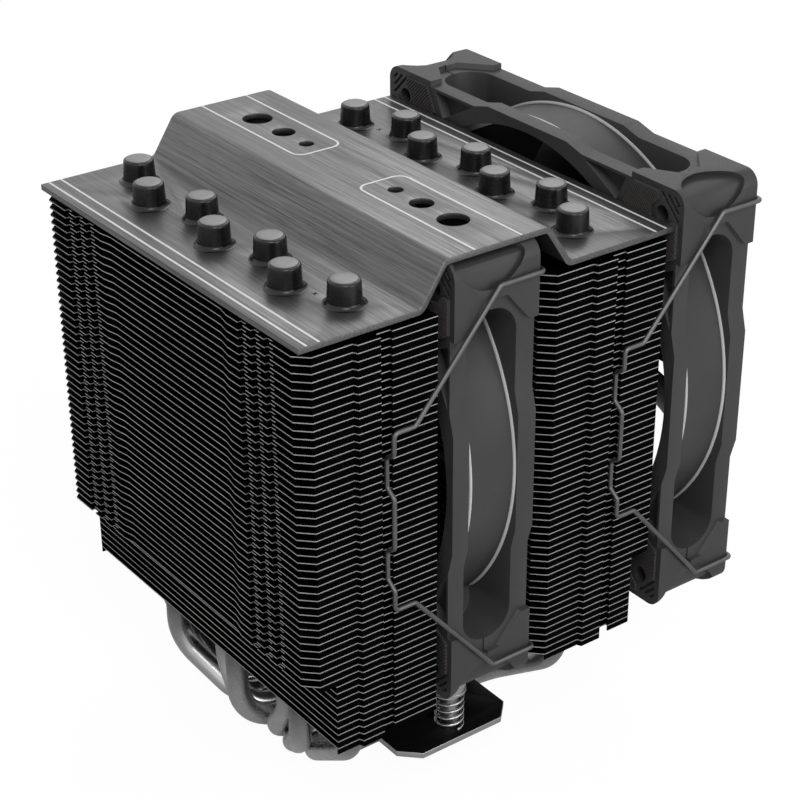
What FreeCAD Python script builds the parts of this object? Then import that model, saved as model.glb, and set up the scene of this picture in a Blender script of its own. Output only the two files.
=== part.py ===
import FreeCAD, Part
import math
import os
import re
import Sketcher

# Dual-tower air cooler for a computer processor.
# Two stacks of fins ride on seven U-shaped heat pipes. The pipes are soldered between a cold plate and a
# base block. A folded cover plate bridges the middle fan, and wire clips hold both fans on the fins.
#
# X runs across the fins, +Y is the way the air blows, +Z is up. The origin is the centre of the cold
# plate's underside. Every size is in millimetres.

V = FreeCAD.Vector
ORIGIN = V(0, 0, 0)

# Driving dimensions: name, value, what it sizes.
DRIVING = [
    # base
    ("plate_side_wall", 2.1, "cold plate beside the outermost pipe"),
    ("plate_depth", 40.0, "cold plate along Y"),
    ("plate_floor", 1.0, "metal left under the heat pipes"),
    ("plate_edge", 0.5, "chamfer round the cold plate's foot"),
    ("block_height", 6.9, "base block above the pipe axes"),
    ("block_depth", 38.0, "base block along Y"),
    ("solder_gap", 0.02, "gap round a pipe in its groove"),
    ("bar_length", 94.6, "mounting bar along X"),
    ("bar_depth", 36.0, "mounting bar along Y"),
    ("bar_thick", 1.7, "mounting bar sheet"),
    ("bar_corner", 5.0, "chamfer on the bar's corners"),
    ("bar_screw_x", 15.0, "bar screws from the middle"),
    ("bar_screw_dia", 3.0, "thread of the bar screws"),
    ("bar_screw_floor", 0.4, "metal between a bar screw and the pipes"),
    ("bar_head_dia", 5.6, "head of the bar screws"),
    ("bar_head_height", 1.9, "head of the bar screws"),
    # heat pipes
    ("pipe_dia", 6.0, "outside of a heat pipe"),
    ("pipe_wall", 0.5, "wall of a heat pipe"),
    ("pipe_gap", 0.1, "between neighbouring pipes in the base"),
    ("pipe_bend", 9.0, "radius where a pipe leaves the base"),
    ("pipe_sweep", 13.0, "radius where a pipe turns up"),
    ("pipe_bend_middle", 15.0, "radius of the middle pipe's only bend"),
    ("leg_pitch", 15.04, "pipe legs along X"),
    ("leg_inset", 16.67, "nearer row of legs inside a tower"),
    ("leg_row_pitch", 5.97, "from the nearer row of legs to the farther"),
    ("turn_next", -0.33, "pipe beside the middle turns this far short of its leg"),
    ("turn_third", 8.64, "third pipe turns this far short of its leg"),
    ("turn_outer", 3.67, "outermost pipe turns this far short of its leg"),
    ("rise_next", 13.0, "pipe beside the middle stands up this far above the base run"),
    ("rise_third", 14.0, "third pipe stands up this far above the base run"),
    ("rise_outer", 18.5, "outermost pipe stands up this far above the base run"),
    ("pipe_top_gap", 0.8, "between a pipe's top and its cap"),
    # fins
    ("fin_thick", 0.4, "fin sheet"),
    ("fin_pitch", 2.036, "from fin to fin"),
    ("fins_upper", 44, "full fins on each tower"),
    ("fins_lower", 10, "set-back fins on each tower"),
    ("fin_top", 144.6, "top of the highest fin"),
    ("fin_inset", 2.2, "fin's side in from the fan's side"),
    ("fin_hole_gap", 0.05, "gap round a pipe in a fin"),
    ("tower_depth", 39.0, "fin along Y"),
    ("gap_before_fan", 3.0, "front tower to middle fan"),
    ("gap_behind_fan", 3.2, "middle fan to rear tower"),
    ("hollow_half", 25.0, "half width of the hollow front edge"),
    ("hollow_run", 3.5, "slope beside the hollow along X"),
    ("hollow_depth", 0.7, "hollow behind the shoulders"),
    ("shoulder_inset", 1.2, "shoulders behind the tower's front line"),
    ("notch_first", 34.4, "first notch from the middle"),
    ("notch_pitch", 5.4, "from notch to notch"),
    ("notch_width", 2.2, "notch in the front edge"),
    ("notch_depth", 1.0, "notch in the front edge"),
    ("fin_corner", 3.2, "cut on a fin's front corners"),
    ("ear_out", 1.2, "clip shoulder beyond the fin's side"),
    ("ear_start", 16.0, "clip shoulder from the nose"),
    ("ear_length", 6.2, "clip shoulder along Y"),
    ("groove_width", 4.0, "clip groove along Y"),
    ("groove_depth", 0.8, "clip groove into the fin's side"),
    ("lip_drop", 1.5, "folded side lip below the fin"),
    ("setback_front", 9.1, "lower front fins cut back"),
    ("setback_rear", 5.6, "lower rear fins cut back"),
    # cover plate
    ("cover_over", 0.2, "cover beyond the fins' sides"),
    ("cover_front_inset", 1.04, "cover's front edge behind the nose"),
    ("cover_fan_gap", 0.23, "cover's back edge to the rear fan's pads"),
    ("cover_gap", 1.6, "highest fin to the cover"),
    ("cover_sheet", 1.5, "cover sheet"),
    ("cover_bend", 1.5, "inside radius of the cover's folds"),
    ("bridge_gap", 0.2, "middle fan to the raised bridge"),
    ("bridge_run", 6.8, "bridge's slope along Y"),
    ("shoulder_gap", 1.3, "bridge's shoulder beyond the fan"),
    ("reach_hole_dia", 7.9, "hole for the screwdriver"),
    ("mid_hole_x", 29.2, "middle hole of the bridge"),
    ("mid_hole_dia", 6.1, "middle hole of the bridge"),
    ("small_hole_x", 18.9, "small hole of the bridge"),
    ("small_hole_dia", 3.9, "small hole of the bridge"),
    ("pipe_pass_gap", 0.3, "gap round a pipe in the cover"),
    # pipe caps
    ("cap_height", 6.2, "cap above the cover"),
    ("cap_wall", 1.125, "cap's wall at its foot"),
    ("cap_taper", 0.325, "cap's radius shrinks by this"),
    ("cap_fit", 0.1, "gap between pipe and cap"),
    ("cap_edge", 0.5, "step round the cap's top"),
    ("collar_width", 1.075, "collar ring round a cap"),
    ("collar_height", 1.0, "collar ring on the cover"),
    # spring screws
    ("screw_x", 41.4, "spring screws from the middle"),
    ("screw_dia", 5.05, "shank of a spring screw"),
    ("screw_fit", 0.08, "gap round the shank in the bar and washer"),
    ("screw_tip", 8.0, "lower end of a spring screw"),
    ("screw_head_dia", 8.6, "head of a spring screw"),
    ("screw_head_height", 4.0, "head of a spring screw"),
    ("drive_width", 1.1, "cross recess arm"),
    ("drive_length", 5.0, "cross recess across"),
    ("drive_depth", 2.2, "cross recess"),
    ("thread_core_dia", 2.5, "core of the M3 thread in a spring screw"),
    ("thread_depth", 9.0, "thread in a spring screw"),
    ("spring_gap", 0.725, "between a shank and its spring"),
    ("spring_wire", 0.75, "spring wire"),
    ("spring_length", 11.5, "spring as fitted"),
    ("spring_pitch", 2.15, "spring coils"),
    ("washer_over", 0.5, "washer beyond its spring"),
    ("washer_thick", 0.8, "washer on a spring"),
    ("keeper_out", 0.775, "ring that keeps a screw in the bar, beyond the shank"),
    ("keeper_thick", 0.5, "ring that keeps a screw in the bar"),
    ("keeper_groove", 0.4, "groove for that ring"),
    # fans
    ("fan_side", 120.0, "fan frame across"),
    ("fan_depth", 25.0, "fan frame along Y"),
    ("fan_lift", 0.008, "fan's foot above the lowest fin"),
    ("fan_mid_y", -1.5, "middle fan's centre"),
    ("rear_fan_gap", 3.1, "rear tower to rear fan"),
    ("fan_corner", 4.0, "frame's corner radius"),
    ("hole_inset", 7.5, "fan's screw holes in from its sides"),
    ("fan_hole_dia", 4.3, "screw holes of a fan"),
    ("duct_inset", 2.5, "air duct in from the frame's sides"),
    ("duct_wall", 1.5, "wall round the air duct"),
    ("rail_front", 4.8, "front rail along Y"),
    ("window_depth", 14.8, "side window along Y"),
    ("window_end", 14.4, "end of a side window in from the corner"),
    ("window_round", 7.2, "radius of a side window's ends"),
    ("block_side", 19.0, "corner block along a side of the frame"),
    ("side_recess", 1.6, "sides set back between the corner blocks"),
    ("rim_start", 16.0, "recess's slope from the fan's middle"),
    ("rim_slope", 6.0, "length of that slope"),
    ("rim_over", 2.0, "rim round the duct beyond the frame's side"),
    ("end_reach", 8.0, "recess's ends past the corner blocks' edge"),
    ("end_front", 8.7, "front of those ends, at the edge"),
    ("end_back", 9.8, "back of those ends, at the edge"),
    ("end_top_front", 3.7, "front of those ends, far from the edge"),
    ("end_top_back", 3.0, "back of those ends, far from the edge"),
    ("pocket_depth", 3.0, "pockets in the frame's front"),
    ("pocket_wall", 0.8, "wall outside a front pocket"),
    ("pocket_inset", 2.0, "front pocket from the corner block's edge"),
    ("pocket_slant", 3.3, "lean of a front pocket's end"),
    ("scoop_half", 10.2, "half width of the corner scoop along Y"),
    ("scoop_shift", 1.6, "corner scoop in front of the fan's middle"),
    ("scoop_reach", 6.0, "corner scoop in from the corner"),
    ("web_thick", 2.0, "web from duct to corner"),
    ("cup_dia", 43.0, "motor cup across"),
    ("cup_wall", 1.6, "motor cup wall"),
    ("cup_floor", 2.0, "motor cup floor"),
    ("cup_depth", 4.2, "motor cup along Y"),
    ("strut_width", 4.0, "strut across"),
    ("strut_depth", 4.0, "strut along Y"),
    ("tube_wall", 1.6, "bearing tube wall"),
    ("tube_front", 5.0, "bearing tube in front of the fan's middle"),
    ("shaft_dia", 3.0, "fan shaft"),
    ("shaft_fit", 0.03, "running gap in the bearing"),
    ("bearing_dia", 6.3, "sleeve bearing outside"),
    ("bearing_seat", 0.02, "gap round a seated part"),
    ("bearing_back", 8.0, "bearing's back end from the fan's middle"),
    ("bearing_length", 12.8, "sleeve bearing"),
    ("ring_groove", 0.4, "groove for the shaft's lock ring"),
    ("ring_thick", 0.4, "shaft's lock ring"),
    ("ring_dia", 5.0, "shaft's lock ring"),
    ("hub_dia", 41.6, "impeller hub"),
    ("hub_wall", 1.5, "impeller hub wall"),
    ("hub_front", 11.5, "hub face in front of the fan's middle"),
    ("hub_back", 8.0, "hub rim behind the fan's middle"),
    ("hub_edge", 2.5, "rounding of the hub's face"),
    ("boss_dia", 7.0, "boss that grips the shaft"),
    ("boss_length", 3.2, "boss that grips the shaft"),
    ("blade_count", 9, "impeller blades"),
    ("blade_tip_gap", 1.0, "between a blade and the duct"),
    ("blade_thick", 1.4, "blade section"),
    ("blade_front", 10.0, "blade's leading edge from the fan's middle"),
    ("blade_back", 6.8, "blade's trailing edge from the fan's middle"),
    ("blade_root_run", 7.5, "half of a blade's sweep at the hub"),
    ("blade_tip_run", 15.0, "half of a blade's sweep at its tip"),
    ("yoke_wall", 1.2, "steel rotor cup"),
    ("magnet_wall", 1.7, "ring magnet"),
    ("magnet_half", 6.5, "half length of the ring magnet"),
    ("air_gap", 0.6, "between magnet and stator"),
    ("core_half", 4.5, "half length of the stator core"),
    ("core_ring", 2.2, "ring of the stator core round the tube"),
    ("neck_width", 4.4, "pole neck"),
    ("shoe_thick", 2.4, "pole shoe"),
    ("slot_width", 2.6, "gap between pole shoes"),
    ("coil_gap", 0.1, "gap round a winding"),
    ("coil_build", 1.9, "wire wound on a pole"),
    ("board_dia", 37.0, "circuit board"),
    ("board_thick", 1.2, "circuit board"),
    ("board_gap", 0.5, "under the circuit board"),
    ("pad_proud", 0.8, "corner pad in front of the frame"),
    ("pad_inset", 1.7, "corner pad in from the frame's edge"),
    ("pad_far", 17.7, "corner pad's far end from the corner"),
    ("pad_near", 8.5, "corner pad's near end from the corner"),
    ("pad_width", 6.7, "corner pad arm"),
    ("pad_lean", 3.7, "lean of a corner pad's end"),
    ("pad_hole_gap", 3.5, "corner pad from the screw hole's middle"),
    ("pad_elbow", 3.0, "corner pad's elbow, along X and Z"),
    # wire clips
    ("clip_wire", 1.2, "clip wire"),
    ("clip_side_gap", 0.3, "between clip and fan side"),
    ("clip_back_gap", 0.2, "between clip and the fan's back"),
    ("clip_bend", 0.7, "inside bends of a clip"),
    ("clip_stub", 3.0, "hook in the fan's screw hole"),
    ("clip_shoulder_up", 24.0, "clip's elbow from the fan's middle"),
    ("clip_elbow", 0.1, "clip's outer elbow behind the fan's middle"),
    ("clip_knee", 6.0, "slope of a clip before its upright"),
    ("clip_jog_high", 17.5, "outer end of a jog from the fan's middle"),
    ("clip_jog_low", 7.7, "inner end of a jog from the fan's middle"),
    ("clip_jog_slope", 2.0, "slope of a jog"),
    ("clip_groove_gap", 0.4, "between clip and groove floor"),
]

doc = FreeCAD.newDocument("TowerCooler")
sheet = doc.addObject("Spreadsheet::Sheet", "Sizes")
for row, (alias, value, meaning) in enumerate(DRIVING, start=1):
    sheet.set(f"A{row}", alias)
    sheet.set(f"B{row}", str(value))
    sheet.set(f"C{row}", meaning)
    sheet.setAlias(f"B{row}", alias)
doc.recompute()

sub_parts = []


def size(alias):
    return float(sheet.get(alias))


def bind(item, prop, formula):
    # Names with an underscore are the sheet's aliases.
    item.setExpression(prop, re.sub(r"\b([a-z]+_[a-z_]+)\b", r"Sizes.\1", formula))


reading = doc.addObject("App::FeaturePython", "Reading")
reading.addProperty("App::PropertyFloat", "Result")


def worked_out(formula):
    # The formula's value at the sheet's present sizes.
    bind(reading, "Result", formula)
    reading.recompute()
    return reading.Result


# ---- derived places, as formulas over the sheet ----
PIPE_AXIS = "(plate_floor + pipe_dia / 2)"
PIPE_PITCH = "(pipe_dia + pipe_gap)"
PLATE_HALF = f"(3 * {PIPE_PITCH} + pipe_dia / 2 + plate_side_wall)"
BLOCK_TOP = f"({PIPE_AXIS} + block_height)"
SCREW_REACH = "(block_height - pipe_dia / 2 - bar_screw_floor)"
BAR_TOP = f"({BLOCK_TOP} + bar_thick)"
SPRING_TOP = f"({BAR_TOP} + spring_length)"
SPRING_RADIUS = "(screw_dia / 2 + spring_gap + spring_wire / 2)"
HEAD_FOOT = f"({SPRING_TOP} + washer_thick)"
# towers, from the gap that holds the middle fan
FIN_HALF = "(fan_side / 2 - fin_inset)"
FRONT_BACK = "(fan_mid_y - fan_depth / 2 - gap_before_fan)"
FRONT_NOSE = f"({FRONT_BACK} - tower_depth)"
REAR_NOSE = "(fan_mid_y + fan_depth / 2 + gap_behind_fan)"
REAR_BACK = f"({REAR_NOSE} + tower_depth)"
LEG_NEAR = f"(leg_inset - {FRONT_BACK})"
LEG_FAR = f"({LEG_NEAR} + leg_row_pitch)"
UPPER_FIN = "(fin_top - fin_thick - fin_pitch * (fins_upper - 1))"
LOWER_FIN = f"({UPPER_FIN} - fin_pitch * fins_lower)"
# fans
FAN_UP = f"({LOWER_FIN} + fan_lift + fan_side / 2)"
REAR_FAN_Y = f"({REAR_BACK} + rear_fan_gap + fan_depth / 2)"
FAN_MIDDLE = ("0", "fan_mid_y", FAN_UP)
FAN_REAR = ("0", REAR_FAN_Y, FAN_UP)
HOLE_OUT = "(fan_side / 2 - hole_inset)"
DUCT = "(fan_side / 2 - duct_inset)"
WINDOW_HALF = "(fan_side / 2 - window_end)"
BLOCK_EDGE = "(fan_side / 2 - block_side)"
RIM = "(fan_side / 2 + rim_over)"
TUBE_RADIUS = "(bearing_dia / 2 + bearing_seat + tube_wall)"
YOKE_RADIUS = "(hub_dia / 2 - hub_wall - bearing_seat)"
MAGNET_RADIUS = f"({YOKE_RADIUS} - yoke_wall - bearing_seat)"
CORE_RADIUS = f"({MAGNET_RADIUS} - magnet_wall - air_gap)"
CUP_FLOOR_TOP = "(fan_depth / 2 - cup_floor)"
# cover plate and caps
COVER_TOP = "(fin_top + cover_gap + cover_sheet)"
COVER_FRONT = f"({FRONT_NOSE} + cover_front_inset)"
COVER_BACK = f"({REAR_FAN_Y} - fan_depth / 2 - pad_proud - cover_fan_gap)"
BRIDGE_TOP = f"({FAN_UP} + fan_side / 2 + bridge_gap + cover_sheet)"
SHOULDER = "(fan_depth / 2 - fan_mid_y + shoulder_gap)"
BRIDGE_FOOT = f"({SHOULDER} + bridge_run)"
CAP_FOOT = "(pipe_dia / 2 + cap_fit + cap_wall)"
CAP_TOP = f"({CAP_FOOT} - cap_taper)"


# ---- small tools for bodies and sketches ----
def new_body(label, at=("0", "0", "0")):
    body = doc.addObject("PartDesign::Body", label)
    body.Label = label
    body.AllowCompound = True
    for axis, formula in zip("xyz", at):
        bind(body, f"Placement.Base.{axis}", formula)
    sub_parts.append(body)
    return body


def datum(body, role):
    return next(item for item in body.Origin.OriginFeatures if item.Role == role)


def new_sketch(body, name, role, shift=("0", "0", "0")):
    # The shift is in the sketch's own axes: right, up, towards the viewer.
    sketch = body.newObject("Sketcher::SketchObject", name)
    sketch.AttachmentSupport = [(datum(body, role), "")]
    sketch.MapMode = "FlatFace"
    for axis, formula in zip("xyz", shift):
        bind(sketch, f"AttachmentOffset.Base.{axis}", formula)
    return sketch


def pin_point(sketch, edge, point, right, up):
    for kind, formula in (("DistanceX", right), ("DistanceY", up)):
        index = sketch.addConstraint(Sketcher.Constraint(kind, -1, 1, edge, point, 1.0))
        bind(sketch, f"Constraints[{index}]", formula)


def polygon(sketch, corners):
    first = sketch.GeometryCount
    count = len(corners)
    ring = [V(math.cos(2 * math.pi * k / count), math.sin(2 * math.pi * k / count), 0) for k in range(count)]
    for k in range(count):
        sketch.addGeometry(Part.LineSegment(ring[k], ring[(k + 1) % count]))
    for k in range(count):
        following = first + (k + 1) % count
        sketch.addConstraint(Sketcher.Constraint("Coincident", first + k, 2, following, 1))
    for k, (right, up) in enumerate(corners):
        pin_point(sketch, first + k, 1, right, up)


def rectangle(sketch, left, right, low, high):
    polygon(sketch, [(left, low), (right, low), (right, high), (left, high)])


def circle(sketch, right, up, radius):
    edge = sketch.addGeometry(Part.Circle(ORIGIN, V(0, 0, 1), 1.0))
    pin_point(sketch, edge, 3, right, up)
    index = sketch.addConstraint(Sketcher.Constraint("Radius", edge, 1.0))
    bind(sketch, f"Constraints[{index}]", radius)


def pad(body, name, sketch, length, both_ways=False, towards_back=False):
    feature = body.newObject("PartDesign::Pad", name)
    feature.Profile = sketch
    feature.SideType = "Symmetric" if both_ways else "One side"
    feature.Reversed = towards_back
    bind(feature, "Length", length)
    body.Tip = feature
    return feature


def cut(body, name, sketch, length=None, towards_front=False):
    # With no length the cut goes right through, both ways.
    before = body.Tip
    feature = body.newObject("PartDesign::Pocket", name)
    feature.Profile = sketch
    if length is None:
        feature.SideType = "Symmetric"
        feature.Type = "ThroughAll"
    else:
        feature.Reversed = towards_front
        bind(feature, "Length", length)
    body.Tip = feature
    doc.recompute()
    if feature.Shape.Volume > before.Shape.Volume - 0.001:
        raise RuntimeError(f"{body.Label}: {name} cuts nothing")
    return feature


def turn(body, name, sketch):
    # Spins a profile about its sketch's upright axis.
    feature = body.newObject("PartDesign::Revolution", name)
    feature.Profile = sketch
    feature.ReferenceAxis = (sketch, ["V_Axis"])
    feature.Angle = 360
    body.Tip = feature
    return feature


def row_of(body, name, features, axis, length, occurrences):
    feature = body.newObject("PartDesign::LinearPattern", name)
    feature.Originals = features
    feature.Direction = (datum(body, axis), [""])
    bind(feature, "Length", length)
    bind(feature, "Occurrences", occurrences)
    body.Tip = feature
    return feature


def ring_of(body, name, features, occurrences):
    # Repeats features round the body's Y axis.
    feature = body.newObject("PartDesign::PolarPattern", name)
    feature.Originals = features
    feature.Axis = (datum(body, "Y_Axis"), [""])
    feature.Angle = 360
    bind(feature, "Occurrences", occurrences)
    body.Tip = feature
    return feature


def round_edges(body, name, radius, wanted, chamfer=False):
    doc.recompute()
    base = body.Tip
    names = [f"Edge{k}" for k, edge in enumerate(base.Shape.Edges, start=1) if wanted(edge)]
    if not names:
        raise RuntimeError(f"{body.Label}: {name} finds no edge")
    kind = "PartDesign::Chamfer" if chamfer else "PartDesign::Fillet"
    feature = body.newObject(kind, name)
    feature.Base = (base, names)
    bind(feature, "Size" if chamfer else "Radius", radius)
    body.Tip = feature
    return feature


def along(edge, axis):
    # True for a straight edge that runs along the axis: 0 is X, 1 is Y, 2 is Z.
    if edge.Curve.TypeId != "Part::GeomLine":
        return False
    return abs(edge.Curve.Direction[axis]) > 0.999


def middle_of(edge):
    return edge.valueAt((edge.FirstParameter + edge.LastParameter) / 2)


def near(value, target):
    return abs(abs(value) - target) < 0.01


# ---- base ----
def pipe_grooves(body):
    sketch = new_sketch(body, "PipeGrooves", "XZ_Plane")
    for k in range(-3, 4):
        circle(sketch, f"{k} * {PIPE_PITCH}", PIPE_AXIS, "pipe_dia / 2 + solder_gap")
    cut(body, "Grooves", sketch)


def cold_plate():
    body = new_body("cold_plate")
    sketch = new_sketch(body, "Footprint", "XY_Plane")
    rectangle(sketch, f"-{PLATE_HALF}", PLATE_HALF, "-plate_depth / 2", "plate_depth / 2")
    pad(body, "Slab", sketch, PIPE_AXIS)
    round_edges(body, "FootEdge", "plate_edge", lambda edge: edge.BoundBox.ZMax < 0.001, chamfer=True)
    pipe_grooves(body)


def base_block():
    body = new_body("base_block")
    sketch = new_sketch(body, "Footprint", "XY_Plane", ("0", "0", PIPE_AXIS))
    rectangle(sketch, f"-{PLATE_HALF}", PLATE_HALF, "-block_depth / 2", "block_depth / 2")
    pad(body, "Slab", sketch, "block_height")
    pipe_grooves(body)
    taps = new_sketch(body, "TappedHoles", "XY_Plane", ("0", "0", BLOCK_TOP))
    for side in ("-", ""):
        circle(taps, f"{side}bar_screw_x", "0", "bar_screw_dia / 2 + solder_gap")
    cut(body, "Taps", taps, f"{SCREW_REACH} + solder_gap")


def mounting_bar():
    body = new_body("mounting_bar")
    sketch = new_sketch(body, "Outline", "XY_Plane", ("0", "0", BLOCK_TOP))
    end, short = "bar_length / 2", "(bar_length / 2 - bar_corner)"
    side, narrow = "bar_depth / 2", "(bar_depth / 2 - bar_corner)"
    polygon(sketch, [
        (f"-{short}", f"-{side}"), (short, f"-{side}"), (end, f"-{narrow}"), (end, narrow),
        (short, side), (f"-{short}", side), (f"-{end}", narrow), (f"-{end}", f"-{narrow}"),
    ])
    for sign in ("-", ""):
        circle(sketch, f"{sign}screw_x", "0", "screw_dia / 2 + screw_fit")
        circle(sketch, f"{sign}bar_screw_x", "0", "bar_screw_dia / 2 + solder_gap")
    pad(body, "Sheet", sketch, "bar_thick")


def bar_screws():
    body = new_body("bar_screws")
    sketch = new_sketch(body, "Profile", "XZ_Plane", ("-bar_screw_x", BAR_TOP, "0"))
    polygon(sketch, [
        ("0", f"-bar_thick - {SCREW_REACH}"), ("bar_screw_dia / 2", f"-bar_thick - {SCREW_REACH}"),
        ("bar_screw_dia / 2", "0"), ("bar_head_dia / 2", "0"),
        ("bar_head_dia / 2", "bar_head_height * 0.6"), ("bar_head_dia / 3", "bar_head_height"),
        ("0", "bar_head_height"),
    ])
    screw = turn(body, "Screw", sketch)
    row_of(body, "Pair", [screw], "X_Axis", "2 * bar_screw_x", "2")
    slots = new_sketch(body, "CrossRecess", "XY_Plane", ("0", "0", f"{BAR_TOP} + bar_head_height"))
    for sign in ("-", ""):
        middle = f"{sign}bar_screw_x"
        cross(slots, middle, "bar_screw_dia / 6", "bar_head_dia / 4")
    cut(body, "Recesses", slots, "bar_head_height / 2")


def cross(sketch, middle, half_width, half_length):
    w, r = half_width, half_length
    steps = [(-1, "r", -1, "w"), (-1, "w", -1, "w"), (-1, "w", -1, "r"), (1, "w", -1, "r"),
             (1, "w", -1, "w"), (1, "r", -1, "w"), (1, "r", 1, "w"), (1, "w", 1, "w"),
             (1, "w", 1, "r"), (-1, "w", 1, "r"), (-1, "w", 1, "w"), (-1, "r", 1, "w")]
    arms = {"w": w, "r": r}
    polygon(sketch, [(f"{middle} + {a} * ({arms[x]})", f"{b} * ({arms[y]})") for a, x, b, y in steps])


# ---- heat pipes ----
def rounded_path(points, radii):
    # Straight runs between the points, joined at each inner point by a tangent arc.
    edges = []
    start = points[0]
    for corner, radius, before, after in zip(points[1:-1], radii, points, points[2:]):
        back = (before - corner).normalize()
        ahead = (after - corner).normalize()
        half = back.getAngle(ahead) / 2
        reach = radius / math.tan(half)
        centre_way = (back + ahead).normalize()
        arc_start = corner + back * reach
        arc_end = corner + ahead * reach
        crown = corner + centre_way * (radius / math.sin(half) - radius)
        if start.distanceToPoint(arc_start) > 0.001:
            edges.append(Part.LineSegment(start, arc_start).toShape())
        edges.append(Part.Arc(arc_start, crown, arc_end).toShape())
        start = arc_end
    edges.append(Part.LineSegment(start, points[-1]).toShape())
    return Part.Wire(edges)


def swept(path, radius):
    first = path.Edges[0]
    ring = Part.Circle(first.valueAt(first.FirstParameter), first.tangentAt(first.FirstParameter), radius)
    solid = path.makePipeShell([Part.Wire(ring.toShape())], True, False)
    if abs(solid.Volume / (math.pi * radius ** 2 * path.Length) - 1) > 0.01:
        raise RuntimeError("a swept wire or pipe has the wrong volume")
    return solid


def feature_from(label, shape, place=ORIGIN):
    item = doc.addObject("Part::Feature", label)
    item.Label = label
    item.Shape = shape
    item.Placement = FreeCAD.Placement(place, FreeCAD.Rotation())
    sub_parts.append(item)
    return item


def pipe_route(index):
    # One leg's route, from the middle of the base up through the rear tower.
    axis = worked_out(PIPE_AXIS)
    base_x = index * worked_out(PIPE_PITCH)
    leg_x = index * size("leg_pitch")
    leg_y = worked_out(LEG_NEAR if index % 2 else LEG_FAR)
    top = worked_out(f"{COVER_TOP} + cap_height - pipe_wall - pipe_top_gap")
    if index == 0:
        return [V(0, 0, axis), V(0, leg_y, axis), V(0, leg_y, top)], [size("pipe_bend_middle")]
    name = ("next", "third", "outer")[abs(index) - 1]
    turn_y = leg_y - size(f"turn_{name}")
    knee = axis + size(f"rise_{name}")
    points = [V(base_x, 0, axis), V(base_x, turn_y, axis), V(leg_x, leg_y, knee), V(leg_x, leg_y, top)]
    return points, [size("pipe_bend"), size("pipe_sweep")]


def heat_pipe(index):
    points, radii = pipe_route(index)
    mirrored = [V(p.x, -p.y, p.z) for p in reversed(points)]
    path = rounded_path(mirrored[:-1] + points[1:], radii[::-1] + radii)
    outer = size("pipe_dia") / 2
    tube = swept(path, outer).cut(swept(path, outer - size("pipe_wall")))
    feature_from(f"heat_pipe_{index + 4}", tube)


# ---- pipe caps and collars ----
def over_legs(body, name, profile, side):
    # Turns a profile and repeats it over one tower's seven legs.
    rows = (("Near", LEG_NEAR, 3, 4), ("Far", LEG_FAR, 2, 3))
    for label, leg_y, first, count in rows:
        away = leg_y if side < 0 else f"-{leg_y}"
        sketch = new_sketch(body, f"{name}{label}", "XZ_Plane", (f"-{first} * leg_pitch", COVER_TOP, away))
        polygon(sketch, profile)
        piece = turn(body, f"{name}{label}Turn", sketch)
        row_of(body, f"{name}{label}Row", [piece], "X_Axis", f"{2 * (count - 1)} * leg_pitch", str(count))


def pipe_caps(label, side):
    body = new_body(label)
    bore = "(pipe_dia / 2 + cap_fit)"
    roof = "(cap_height - pipe_wall)"
    over_legs(body, "Cap", [
        (bore, "0"), (CAP_FOOT, "0"), (CAP_TOP, "cap_height - cap_edge"),
        (f"{CAP_TOP} - cap_edge / 2", "cap_height - cap_edge / 2"),
        (f"{CAP_TOP} - cap_edge", "cap_height - cap_edge / 2"),
        (f"{CAP_TOP} - cap_edge", "cap_height"), ("0", "cap_height"), ("0", roof), (bore, roof),
    ], side)


def pipe_collars():
    body = new_body("pipe_collars")
    inner = f"({CAP_FOOT} + cap_fit)"
    outer = f"({CAP_FOOT} + collar_width)"
    for name, side in (("Front", -1), ("Rear", 1)):
        over_legs(body, name, [
            (inner, "0"), (outer, "0"), (outer, "collar_height * 0.3"),
            (f"{inner} + 0.45", "collar_height * 0.5"), (f"{inner} + 0.2", "collar_height"),
            (inner, "collar_height"),
        ], side)


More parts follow.
